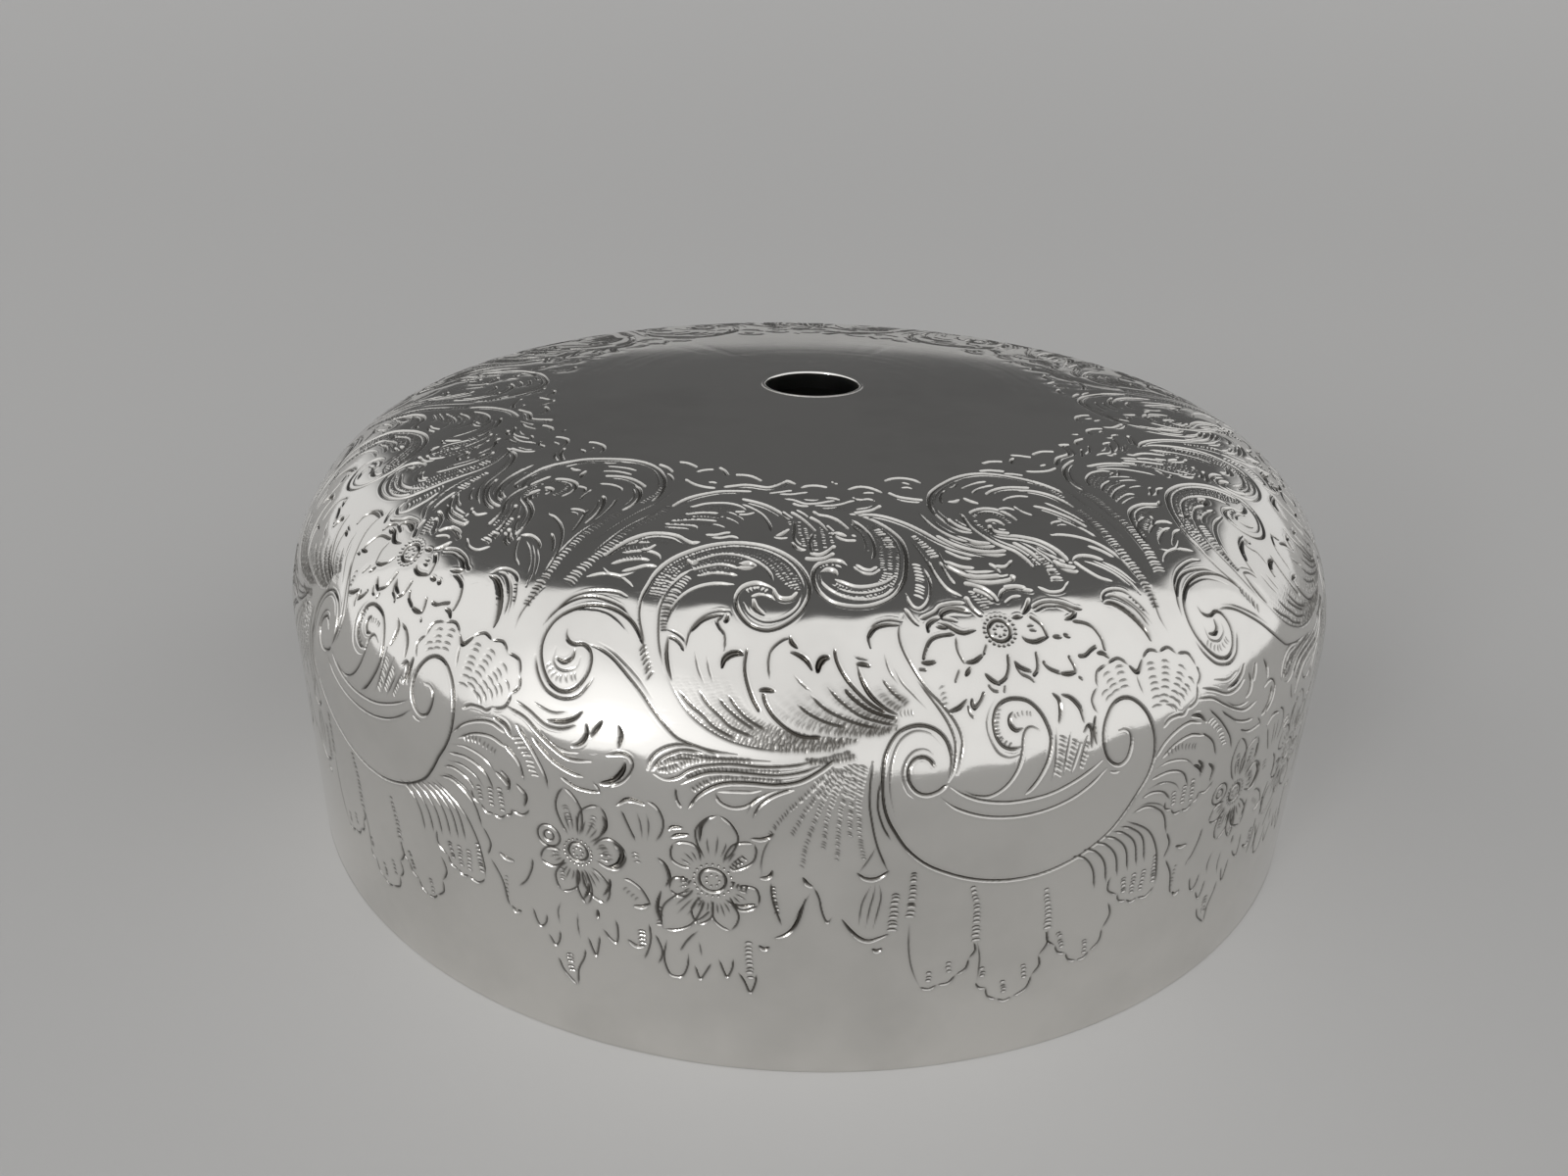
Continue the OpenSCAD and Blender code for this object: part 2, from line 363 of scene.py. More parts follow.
def daisy(c):
    """A large open flower over the cartouche, its petals drawn thin with heavy cuts at their tips."""
    c.boss((16.2, 88.4), 2.0)
    c.swell((18.1, 86.9), (18.5, 86), (19.2, 85.6), (20, 85.9), (20.6, 86.2))
    c.bold((20.5, 86.2), (20.45, 87.5), (20.2, 88.9), (19.5, 90.4))
    c.line((18.9, 88.6), (19.5, 88.7))
    c.line((19, 87.9), (19.6, 87.6))
    c.bold((20.1, 91.9), (20.9, 92.5), (21.7, 92.7), (22.6, 92.4), (23.5, 91.7), (24.3, 90.5),
           (24.9, 90.1))
    c.swell((22.4, 91.8), (23.3, 91.2), (23.8, 90.2), (24.2, 90))
    c.swell((24.2, 90), (23.7, 89), (22.8, 88.7))
    c.line((20.2, 91.2), (21.4, 91.9), (22.6, 91.6))
    c.bold((23.5, 88.2), (24.4, 87.6), (25.1, 86.7), (25.5, 85.3), (25.7, 83.6), (25.6, 81.7))
    c.bold((22.8, 81.8), (23.5, 81.7), (24.2, 82.4), (24.9, 82.9))
    c.swell((24.7, 81.6), (25.3, 81.4), (25.8, 80.3))
    c.swell((21, 86), (21.8, 85.7))
    c.swell((22.1, 86.1), (22.6, 85.4))
    c.bold((19.4, 82), (19.8, 80.6), (20.7, 79.5))
    c.swell((20.7, 79.4), (21.5, 79.1), (22.3, 79.2))
    c.bold((21.9, 82.2), (22.2, 80.3), (22.2, 79.3))
    c.line((22.3, 78.3), (22.7, 77.6))
    c.swell((16.8, 82.7), (17.3, 81.4), (18.2, 80.5))
    c.line((16.8, 82.2), (17.2, 80.4), (17.8, 79.6), (18.3, 78.5))
    c.bold((19, 83.8), (18.9, 81.9), (18.7, 80.6), (18.2, 79.7))
    c.swell((14, 81.1), (14.5, 79.9), (15.2, 78.9))
    c.bold((16.4, 84), (16.2, 81.7), (15.8, 80.1), (15.1, 79.2))
    c.line((14.1, 79.2), (14.5, 78.1), (15, 77.8))
    c.line((15.6, 78.7), (15.4, 77.5))
    c.swell((12.5, 83.3), (13.3, 83.4), (14.2, 84.5))
    c.line((12.1, 88), (12, 85.6), (12.4, 83))
    c.line((14.2, 84.4), (14.7, 86.2))
    c.swell((12.9, 82.4), (12.3, 81))
    c.line((11.9, 82.2), (11.3, 79.9))
    c.swell((8.7, 83.8), (9.3, 83.6), (10, 83.8))
    c.bold((8.9, 84.1), (9.2, 85.8), (9.7, 87.5), (10.5, 88.3), (12, 88.6))
    c.line((8.4, 82.6), (9.1, 82.4))
    c.ladder((10.2, 79.8), (10.3, 76.4), half=0.7, gap=0.9, lean=-0.4)
    c.swell((10.5, 75.1), (11.3, 75.6), (11.7, 76.1), (12.2, 77))
    c.swell((12.6, 77.1), (12.6, 76), (12.75, 75.1))
    c.bold((12.7, 75.3), (13.3, 76.5), (13.7, 78))
    c.line((12.2, 76), (12.3, 74.6), (12.6, 73.7))
    c.swell((10.9, 90.8), (11.6, 90.2), (12.2, 89.2), (12.9, 88.6), (14, 89))
    c.swell((10.6, 90.1), (11.5, 89.8))
    c.line((11.1, 91.7), (11.9, 91.3), (12.5, 90.8))
    c.swell((11.2, 91.6), (11.4, 92.9), (12.3, 93.6), (13.2, 93.1), (13.9, 92.3), width=1.5)
    c.swell((9.7, 89.1), (9.8, 90.5), (10.3, 91.3), (10.9, 91.7))
    c.bold((9.3, 91.7), (10, 92.2), (10.8, 93), (11.4, 94), (12.6, 94.4), (13.6, 94.2))
    c.bold((14.4, 98.4), (15.3, 98), (16.1, 97), (16.7, 95.4), (16.9, 93.8))
    c.bold((14, 95.4), (14.2, 93.4), (14.9, 91.4))
    c.bold((15.1, 96.9), (16, 95.8), (16.6, 94.2))
    c.hatch([(14.4, 97), (14.7, 94.6), (15.3, 92.8)], [(15.2, 96.4), (16, 95), (16.4, 93)], 2, lean=0.4)
    c.bold((17.3, 94.6), (17.9, 96), (18.8, 96.4), (19.8, 95.8), (20.8, 95.1))
    c.bold((18.2, 96.7), (19.4, 96.6), (20.2, 96))
    c.swell((20.1, 93.7), (19.6, 92.1), (18.9, 91))
    c.swell((17.8, 90.5), (18.7, 90.6))
    c.line((17.6, 93.4), (18.6, 94.4), (19.4, 94.4))


def shells(c):
    """Two scalloped shells fan out beside the daisy."""
    c.scallops((23.5, 71.4), (23.9, 75.8), (25.4, 79.3), (27.5, 78.2), bulge=-0.27)
    c.swell((27.5, 78.2), (28.2, 76.7), (29.1, 78.6))
    c.scallops((29.1, 78.6), (31.1, 78.9), (33, 77.6), (34.8, 74.4), (34.4, 71), (32.8, 67.6),
               bulge=-0.27)
    c.fine((28, 76.5), (28.1, 74.6), (28.3, 72.5))
    c.line((32.8, 67.6), (32.3, 66.8), (31.6, 67), (30.6, 66.8), (29.9, 65.8))
    for top, foot in (((24.4, 75.4), (25, 72.8)), ((25, 78.4), (25.6, 74.2)), ((26.5, 79), (26.5, 74.6)),
                      ((29.8, 78.2), (29.5, 69.8)), ((31.6, 77.8), (30.2, 69.4)),
                      ((33.4, 75.6), (30.9, 69)), ((34, 72.4), (31.3, 68.4))):
        c.ladder(top, foot, half=1.2, gap=1.25)


def c_scroll(c):
    """A large C that turns into a hooked eye, left of the long leaf."""
    c.bold((-14.6, 82.7), (-15.6, 86), (-17, 88.4), (-19, 89.7), (-21, 89.4), (-22.6, 87.8),
           (-23.6, 85.5), (-24.05, 82.5), (-23.9, 79.5), (-23.2, 76.5), (-22.2, 74.3), (-21, 73.5),
           (-19.9, 74.5), (-19.2, 77), (-19.1, 79.5), (-19.5, 81.4), (-20.2, 82.2), (-21, 81.9),
           (-21.6, 82.2), (-22, 83.1), (-22.15, 84.4))
    c.line((-24.3, 85.5), (-23.3, 89.6), (-22, 91.7), (-20.5, 92.6), (-18.9, 92.8), (-17.8, 92.2))
    c.line((-24.6, 83.8), (-24, 87), (-22.9, 89.6), (-21.5, 91), (-19.8, 91.1), (-18, 90.2),
           (-16.8, 88.6))
    c.fine((-23, 86.6), (-22, 88.2), (-20.5, 88.8), (-19, 88.6), (-17.6, 87.3), (-16.4, 85.4))
    c.line((-24.3, 78.6), (-23.6, 75.6), (-22.5, 73.2), (-21, 72.3), (-19.6, 73.2), (-18.8, 75.6),
           (-18.5, 77))
    c.swell((-20.8, 81), (-20.9, 79.4), (-21.5, 78.5), (-22.3, 78.9))
    c.fine((-22.6, 80.8), (-22.4, 78), (-21.4, 77), (-20.3, 78), (-20.1, 80))
    c.ladder((-23, 77.6), (-21.6, 75.6), (-20, 76.6), half=0.8, gap=0.9)
    c.line((-20, 82.3), (-19, 82.1), (-18, 81.5), (-17, 80.4), (-15.5, 78), (-14.3, 75.8), (-13, 73),
           (-11.8, 70.6), (-10.8, 69), (-9.5, 68.2), (-8, 67.6), (-6, 67.4))
    c.fine((-19, 83), (-17.6, 82), (-16, 80), (-14.5, 77.6), (-13.2, 75))
    c.ladder((-15, 84), (-14.4, 81.4), (-13.7, 78.6), half=0.8, gap=0.85, lean=-0.6, width=0.6)


def long_leaf(c):
    """A long acanthus leaf sweeps right, its lobes along the top and its veins running to one point."""
    c.line((-15.2, 101), (-16, 97.6), (-16.4, 93.6), (-16.2, 90), (-15.6, 87), (-14.8, 84.3))
    c.line((-12.5, 100.3), (-13.5, 98), (-14.2, 95), (-14.4, 91.5), (-14.1, 88), (-13.6, 84.4),
           (-12.9, 81))
    c.line((-8, 97.5), (-10, 97.3), (-11.6, 96), (-12.7, 93.8), (-13.3, 91), (-13.4, 88))
    c.swell((-12.95, 86), (-12.8, 83.2), (-12.4, 80.6), (-11.9, 78.6))
    c.line((-12.95, 86), (-12.3, 85.7), (-11.7, 84.9), (-11.3, 83.8))
    c.fine((-13.4, 87.4), (-12.4, 86.9), (-11.6, 86), (-11.2, 84.7))
    c.line((-11.2, 84.3), (-11.2, 87), (-10.8, 89.2), (-10, 91), (-9, 91.9), (-8, 92.1))
    c.swell((-11, 87.6), (-10.4, 89.6), (-9.6, 90.7), (-8.5, 91.3))
    c.line((-8.5, 91.4), (-8.9, 90), (-8.6, 88.8), (-8.15, 87.8), (-7.95, 86.3), (-7.9, 84.6))
    c.swell((-8.1, 91.4), (-8.15, 89.8))
    c.swell((-7.9, 81.6), (-7.8, 83.2), (-7.3, 84.2), (-6.7, 84.5), (-6.2, 84.3), width=1.3)
    c.bold((-6, 85.4), (-6.05, 82.5), (-5.8, 80), (-5.2, 77), (-4.5, 74.8))
    c.swell((-4.7, 78.4), (-4.1, 78.6), (-3.4, 78.4))
    c.bold((-4.4, 78.2), (-4.1, 76.3), (-3.4, 74.2), (-2.2, 72.2), (-1, 71.2), (0.4, 71.2))
    c.line((-3.9, 80.4), (-4.1, 83.4), (-3.9, 85.6), (-3.2, 87.2), (-2.4, 88.1))
    c.swell((-2.45, 88.2), (-2.2, 87), (-1.7, 86.1))
    c.swell((-2.3, 85.4), (-1.6, 84.9), (-0.9, 83.9), (-0.4, 82.3))
    c.swell((0, 82), (0.15, 83.6), (0.5, 84.5), (1, 84.7), width=1.4)
    c.bold((1.4, 86.3), (1.6, 84), (2.2, 81.5), (3, 79.4), (4.2, 77), (5.5, 75.4))
    c.swell((3.2, 83.6), (3.8, 83.6), (4.4, 83.2))
    c.swell((3.3, 83.4), (3.6, 81), (4.2, 78.6), (5.2, 76.5), (6.5, 74.9))
    c.fine((3, 85), (3.6, 84.6), (4.3, 84.4))
    c.swell((4.5, 86.4), (4.4, 88.4), (4.9, 90), (5.8, 90.7), (7.2, 90.7))
    c.line((4.6, 90.2), (5.4, 91.3), (6.4, 91.7), (7.5, 91.3))
    c.line((7.6, 92.6), (7.1, 89.5), (7.2, 86.5), (8, 82.5), (9, 79), (10.1, 76.3), (11.1, 73),
           (11.5, 70), (11.3, 67), (11, 64.6))
    c.line((8.2, 80.6), (8.9, 78.6), (9.9, 75.4), (10.6, 72.5), (10.95, 69.5), (10.8, 66), (10.4, 63.8))
    leaf_veins(c)


def leaf_veins(c):
    """Veins of the long leaf, and ticks between them that thicken towards its stem."""
    c.line((-11.2, 77), (-10.2, 75), (-9, 73.3), (-8, 71.6), (-6, 69.8))
    c.line((-9.6, 77.5), (-8.8, 75.4), (-7.6, 73.4), (-6.6, 71.8), (-4.6, 70.4))
    c.line((-7.9, 76.5), (-7.2, 75), (-6, 73.2), (-4.6, 71.6))
    c.line((-7.2, 77.2), (-6.3, 75), (-5.3, 73.3), (-3.8, 71.8))
    c.fine((-10.4, 84), (-9.9, 81), (-9.2, 78.6))
    c.fine((-9.3, 83.4), (-9, 81.2), (-8.5, 79))
    c.line((-1.6, 76.5), (-0.6, 75), (0.8, 73.7), (2.4, 72.9))
    c.line((-0.6, 78.2), (0.6, 76), (2, 74.5), (3.6, 73.4), (5, 72.8))
    c.line((0.8, 79.6), (1.8, 77.4), (3.4, 75), (5, 73.9), (6.5, 73.2))
    c.bold((2.2, 79.3), (3, 77.6), (4.2, 75.9), (5.6, 74.8), (6.3, 74.5))
    c.fine((-2, 81.4), (-1.2, 79.8), (-0.4, 78.6))
    c.line((5.3, 81), (6, 79), (6.9, 77.3))
    c.fine((6.3, 83), (6.9, 80.4), (7.8, 78.2), (8.8, 75.8))
    c.fine((5.6, 85.4), (5.9, 82.6), (6.6, 80))
    c.fine((-12.4, 79.5), (-11.4, 76.4), (-10, 73.2), (-8.2, 70.8), (-6, 69.2), (-3, 68.6), (0, 69.4))
    fade = (0.1, 0.3, TICK, TICK)
    low = [(-12.5, 79), (-10.6, 74), (-8.4, 71), (-5.6, 69.2), (-2, 68.6), (1.5, 69.2)]
    ridge = [(-10, 80), (-8.2, 75.2), (-6.2, 72.8), (-3.4, 70.9), (-0.2, 70.2), (2.6, 70.4)]
    top = [(-7.3, 80), (-5.4, 75), (-4, 73.2), (-1.6, 71.7), (1, 71.1), (3.4, 71.1)]
    c.hatch(low, ridge, 4, lean=0.3, width=fade)
    c.hatch(ridge, top, 3, lean=0.3, width=fade)
    c.hatch([(-4.3, 77), (-3.2, 74.6), (-1.8, 73), (0.4, 72), (3, 71.7), (4.8, 71.8)],
            [(-1.2, 79.6), (0.2, 77.2), (1.6, 75.6), (3.2, 74.4), (5, 73.3), (6.6, 72.8)], 4, lean=0.3,
            width=fade)
    c.hatch([(0, 80), (1.2, 77.2), (2.2, 76), (3.8, 74.7), (5.6, 73.7)],
            [(2.4, 80.6), (3.4, 78), (4.4, 76.4), (5.6, 75), (6.6, 74)], 2, lean=0.3, width=fade)
    c.hatch([(4.2, 79.6), (5.2, 77), (6.4, 75.4)], [(6.2, 81), (7, 78.2), (7.8, 77)], 2, lean=0.3,
            width=fade)
    c.hatch([(-1, 67.4), (0.6, 67.8), (2.4, 69)], [(-0.4, 66.6), (1.4, 67), (3.4, 68)], 2, gap=0.5)
    c.ladder((6.6, 75.2), (7.6, 75.4), half=0.7, gap=0.6)


def wave_leaf(c):
    """A small leaf of layered waves, under the long leaf."""
    c.line((-13, 63), (-12.8, 65), (-12, 66.9), (-10.8, 68), (-9.3, 68.1), (-7.5, 67))
    c.line((-12.6, 63), (-12.2, 64.8), (-11.4, 66.2), (-10.3, 67.2), (-8.8, 67.2))
    c.line((-12.5, 62.6), (-11.6, 61.9), (-10.6, 62.5), (-9.7, 64), (-8.5, 65), (-6.5, 65.7), (-4, 65.7),
           (-1.5, 66.3), (0.2, 67.4))
    c.line((-10.3, 61.4), (-9.2, 63), (-8, 64), (-6, 64.4), (-3, 64.4), (-1, 65.2), (0.6, 66.6))
    c.bold((-9.7, 57), (-9, 59.5), (-8, 61.3), (-6.8, 62.4), (-5, 62.8), (-3, 62.8), (-1.2, 63.6),
           (0.3, 65.5), (1.5, 67.6))
    c.line((-7.6, 60.6), (-7.2, 59), (-6.3, 58.2), (-5.3, 58.6), (-4.6, 59.8), (-4.2, 60.9))
    c.fine((-7.4, 60.9), (-6, 61.2), (-4.8, 61.4), (-4, 61.9))
    c.line((-4.7, 56.4), (-4.2, 58.8), (-3.4, 60.5), (-2.4, 61.7), (-1.6, 62.3))
    c.fine((-5.2, 57), (-4.7, 59.2), (-3.8, 61), (-2.8, 62))
    c.fine((-10.6, 66.6), (-8.6, 66.3), (-6, 66.6), (-3.4, 66.7))
    c.fine((-11.4, 64.6), (-10.4, 65.6), (-8.8, 66))
    c.line((-10.7, 60.5), (-10.6, 58.6), (-10.2, 57))
    c.hatch([(-12.4, 64), (-11.6, 65.6), (-10.4, 66.7), (-8.6, 66.8), (-5, 66.9)],
            [(-12.2, 63), (-11, 63.2), (-9.9, 64.8), (-8.4, 65.8), (-5, 66.2)], 2)
    c.hatch([(-10.2, 62.6), (-9.2, 64), (-7.8, 64.9), (-5.6, 65.2), (-2.6, 65.4)],
            [(-9.8, 61.8), (-8.8, 63.4), (-7.6, 64.2), (-5.6, 64.6), (-2.6, 64.8)], 1)
    c.hatch([(-9.6, 61), (-8.6, 62.6), (-7.2, 63.6), (-5, 63.9), (-2.6, 63.9)],
            [(-9.2, 60.2), (-8.2, 61.8), (-7, 62.8), (-5, 63.2), (-2.6, 63.2)], 1)


def drooping_leaf(c):
    """A broad leaf hangs from the veins' meeting point, with cupped tips."""
    c.line((4.4, 67.4), (4.2, 61), (4.5, 56), (5, 51.5), (5.7, 47.6), (6, 46.3))
    c.line((5, 64), (4.85, 59.6), (5.3, 55.8), (6, 52.8))
    c.fine((3.6, 46), (4.4, 49), (4.9, 51.6))
    veins = (((1.5, 66), (0, 63), (-1.5, 59.5), (-2.6, 56.5), (-3.4, 53.2)),
             ((1.9, 66), (0.6, 62.6), (-0.7, 58.4), (-1.6, 54)),
             ((2.2, 66), (1, 62.2), (0.2, 57.6), (-0.5, 52), (-0.8, 47)),
             ((2.5, 66.4), (1.6, 62), (1, 57), (0.8, 51)),
             ((2.8, 66.8), (2.2, 61), (1.9, 55), (1.9, 49)),
             ((3.2, 67), (2.8, 60.5), (2.8, 54)),
             ((3.7, 67), (3.4, 60), (3.6, 53.4), (4, 48.6)))
    for vein in veins:
        c.ladder(*vein, half=0.55, gap=0.7, lean=0.5)
    c.swell((3.5, 46.2), (4.1, 45), (4.8, 44.7), (5.4, 45.2), (6.05, 46.5))
    c.swell((-0.7, 45), (-0.35, 43.7), (0.15, 43))
    c.swell((-4.05, 44.4), (-3.6, 44.4), (-3.2, 45), (-3.05, 46.2))
    c.swell((-4.8, 52.4), (-4, 52.4), (-3.4, 52.9), (-3, 53.8))
    c.fine((-3.05, 53.6), (-3.7, 50.5), (-3.95, 47.4), (-3.9, 44.8))
    c.line((-3.15, 43.6), (-3.1, 41), (-2.9, 38.7), (-2.55, 36.3), (-2.25, 34.4))
    c.swell((-2.8, 31.5), (-2.1, 32.1), (-1.4, 33.5), (-0.9, 36), (-0.4, 40.5))
    c.swell((-4.05, 29.5), (-3.6, 28.8), (-3.15, 29.4))
    c.line((0.2, 43), (0.65, 40.6), (0.85, 38.4), (1.1, 36.5), (1.4, 35.4), (1.75, 36.6))
    c.swell((2.5, 36.2), (3.2, 33.8), (4, 31.9), (4.8, 31.2), (5.6, 31.8), (6.4, 32.7))
    c.swell((5.1, 29.4), (5.5, 28.9), (5.95, 29.5))
    c.ladder((6.75, 42), (6.6, 33), half=(0.8, 1.1), gap=1.0, width=LINE)
    c.ladder((-3.05, 43), (-2.6, 37), half=0.5, gap=0.8, width=LINE)
    c.veins([(4.4, 43.6), (3.4, 40), (3.3, 35)], [(5.6, 44), (6.2, 40), (5.6, 33)], 3)
    c.veins([(-0.6, 43), (-1.4, 39), (-2, 34)], [(0.6, 41), (0.2, 39), (-0.6, 37)], 1)


def bowl_shells(c):
    """Three fluted shells hang below the cartouche, parted by ladders of ticks."""
    c.ladder((8.05, 46.4), (8.1, 41), (8, 36.4), half=(0.6, 1.0), gap=0.95, width=LINE)
    c.ladder((13, 42), (13.55, 37), (13.75, 29.4), half=(0.6, 1.0), gap=1.0, width=LINE)
    c.ladder((19.6, 38.6), (20.1, 33), (20.3, 28.8), half=(0.6, 1.0), gap=1.0, width=LINE)
    c.fine((8.05, 36), (8.05, 31), (8.3, 26.4), (8.8, 22.6), (9.4, 19.8))
    c.scallops((9.3, 20), (10.8, 20.2), (12.3, 22), (13.3, 25.4), (13.6, 29), bulge=0.24)
    c.fine((13.9, 29.4), (14.3, 25), (14.3, 19.4))
    c.scallops((14.2, 19.4), (15.2, 17.8), (16.3, 14.6), (17.7, 14.4), (19.3, 18.6), (19.7, 23),
               (20.1, 28.4), bulge=0.24)
    c.scallops((20.4, 28.6), (21.3, 24.4), (22.5, 21.8), (23.7, 19.2), (24.9, 20.4), (25.9, 25),
               (26.1, 31), bulge=0.22)
    for top, foot in (((11.6, 25.4), (11.7, 22.6)), ((14.6, 23), (14.8, 20)), ((18.4, 22), (18.6, 18.6)),
                      ((21.4, 27.6), (22, 23.4)), ((24.2, 24), (24.4, 20.6)), ((10, 23.6), (10, 20.6)),
                      ((16.6, 19), (16.9, 15.4))):
        c.ladder(top, foot, half=0.6, gap=0.9, width=LINE)


def feather_fans(c):
    """Fans of feathers spread to the right of the cartouche."""
    for start, reach in ((21.6, 0), (22.6, 0.5), (23.6, 0.9), (24.5, 1.4), (25.3, 1.9), (26, 2.4)):
        rise = 44.4 + 0.85 * (start - 21.6)
        c.line((start, rise), (start + 1.4, rise - 1.4), (start + 2.4 + 0.2 * reach, rise - 4.6),
               (start + 2.8 + 0.3 * reach, rise - 9 - 0.6 * reach))
    c.line((26.6, 49), (29.3, 45), (30.7, 40), (31.3, 34.4), (31.4, 30.8))
    c.scallops((26, 37), (27.1, 32.2), (28.2, 30), (29.4, 29.6), (31.3, 30.6), bulge=0.28)
    c.ladder((27.4, 36), (27.7, 32), half=0.7, gap=0.85, width=LINE)
    c.ladder((28.6, 36), (28.6, 31), half=0.7, gap=0.85, width=LINE)
    c.ladder((29.7, 36), (29.6, 31), half=0.7, gap=0.85, width=LINE)
    c.ladder((30.8, 38.4), (31, 32), half=0.7, gap=0.85, width=LINE)
    c.line((27.1, 50.3), (28.6, 50.7), (30, 49.2), (31, 46.8), (31.6, 42.4))
    c.fine((27.5, 51.4), (28.9, 51.2), (30.2, 50), (31, 48.4))
    c.line((27.9, 53), (29, 53.5), (30.4, 52.5), (31.3, 50.3))
    c.fine((28.2, 54.6), (30, 54.9), (31.5, 53.6), (32.4, 51.2))
    c.line((28.5, 56.4), (30.6, 56.8), (32.4, 55.2), (33.3, 51.6))
    c.fine((28.8, 58.3), (30.6, 58.9), (32.6, 57.8), (34, 54.8))
    c.scallops((30.8, 50.2), (31.7, 47.9), (33, 46.7), (34.2, 47.3), (34.9, 49), (36.7, 50.2), bulge=0.28)
    c.ladder((31.6, 52), (31.8, 48.6), half=0.7, gap=0.85, width=LINE)
    c.ladder((32.8, 52.4), (32.9, 47.8), half=0.7, gap=0.85, width=LINE)
    c.ladder((33.8, 53), (34, 48), half=0.7, gap=0.85, width=LINE)
    c.line((28.9, 60.4), (30, 62.9), (31.5, 64.5), (33, 65), (34.3, 64))
    c.line((29.6, 60), (31.2, 61.9), (33, 62.5), (34.6, 61.4))
    c.swell((33.2, 66), (34.3, 65.3), (35, 63.6))
    c.swell((33.6, 56), (34.4, 54.8), (34.9, 53.2))
    c.ladder((30.2, 60.6), (32, 60.9), (33.6, 59.8), half=0.8, gap=0.9)
    c.line((31.7, 42.6), (32.3, 39.6), (31.9, 36.6))
    c.swell((33.2, 38.2), (33.9, 37.5), (34.7, 37.4))
    c.swell((34, 26.6), (34.4, 25.7), (35, 26.2))
    c.ladder((33.7, 33.6), (33.6, 28), half=0.5, gap=0.9)
    c.line((32.2, 36), (33.2, 32), (33.6, 27.6), (33.9, 26.4))
    c.line((35, 32), (35.8, 34), (36.4, 37), (36.6, 39.5))


def left_flower(c):
    """A round-petalled flower under the C, with leaves hanging from it."""
    c.flower((-19.1, 43.6), 1.9, [(-20, 56.8, 2.5), (-16.9, 54.6, 2.7), (-14.8, 45.4, 3.2),
                                  (-16.8, 33.8, 2.4), (-18.5, 32.4, 1.4), (-20.8, 34.1, 2.3),
                                  (-22.6, 40, 1.9)])
    c.swell((-16.7, 52.6), (-16.55, 50.4), (-17.1, 47.8))
    c.swell((-15.9, 47.4), (-15.25, 45.4), (-15.6, 42.8), (-16.6, 41.6), width=1.3)
    c.swell((-16.35, 39.4), (-16.5, 37.2), (-17, 35.2))
    c.swell((-18.3, 37.2), (-18.4, 35.4), (-18.8, 33.4))
    c.ring((-21.7, 45.6), 1.0, LINE)
    c.ring((-21.7, 45.6), 2.3, LINE)
    c.ladder((-17, 46.6), (-16.2, 43), half=0.9, gap=0.75)
    c.ladder((-20, 53.4), (-19.6, 49.4), half=0.8, gap=0.75)
    c.ladder((-17.4, 52.4), (-17.8, 49.4), half=0.8, gap=0.75)
    c.ladder((-20.6, 39.4), (-20.7, 36.4), half=0.7, gap=0.75)
    c.line((-15.2, 40.2), (-14.5, 39.9), (-13.7, 38.6), (-13.2, 36.7), (-12.95, 35.3))
    c.swell((-14.4, 34.5), (-13.6, 34.7), (-12.9, 35.7))
    c.ladder((-15.2, 38.4), (-14, 36), half=0.7, gap=0.9)
    c.swell((-15.5, 55.4), (-14.5, 57), (-13.1, 56.6))
    c.line((-15.1, 54.6), (-14.6, 51.8), (-14, 48.7))
    c.line((-13, 57.4), (-12.2, 56.4), (-11.7, 54), (-11.8, 51.6), (-12.3, 49.4))
    c.veins([(-14.6, 55), (-14.2, 52.4), (-13.8, 49)], [(-12.2, 54.8), (-12.2, 52.4), (-12.6, 49.4)], 2)
    c.ladder((-14.1, 46.5), (-13.9, 44), half=0.9, gap=0.85)
    c.line((-21.6, 18), (-21.2, 15.6), (-20.5, 13.8), (-19.9, 12.6))
    c.line((-18.9, 22), (-19.1, 19.6), (-19.7, 16.4), (-19.8, 12.7))
    c.ladder((-20.5, 20), (-20.3, 15.6), half=0.9, gap=0.9, width=LINE)
    c.line((-18.6, 25), (-18.3, 22.6), (-17.95, 21), (-17.7, 23), (-17.5, 26))
    c.line((-17.2, 27.8), (-16.6, 26), (-16, 25.3), (-15.85, 28), (-16, 30.6))
    c.swell((-15, 26.5), (-14.3, 25.5), (-13.5, 25.8))
    c.line((-13.1, 31.2), (-13, 28), (-13.2, 25.4), (-13.6, 22.8))
    c.ladder((-13.8, 29.6), (-13.7, 26.4), half=0.9, gap=0.85, width=LINE)
    c.line((-23.8, 28), (-23.5, 25.4), (-23.1, 24.2), (-22.6, 25.4), (-22.4, 27.6))
    c.line((-22.4, 23), (-21.8, 20.8), (-21.4, 22), (-21.2, 24.6))
    c.fine((-20.9, 31.6), (-21.3, 29), (-21.2, 26))
    c.fine((-19.4, 30), (-19.5, 27), (-19.3, 24))
    c.swell((-17.6, 31.8), (-17.6, 29.8))


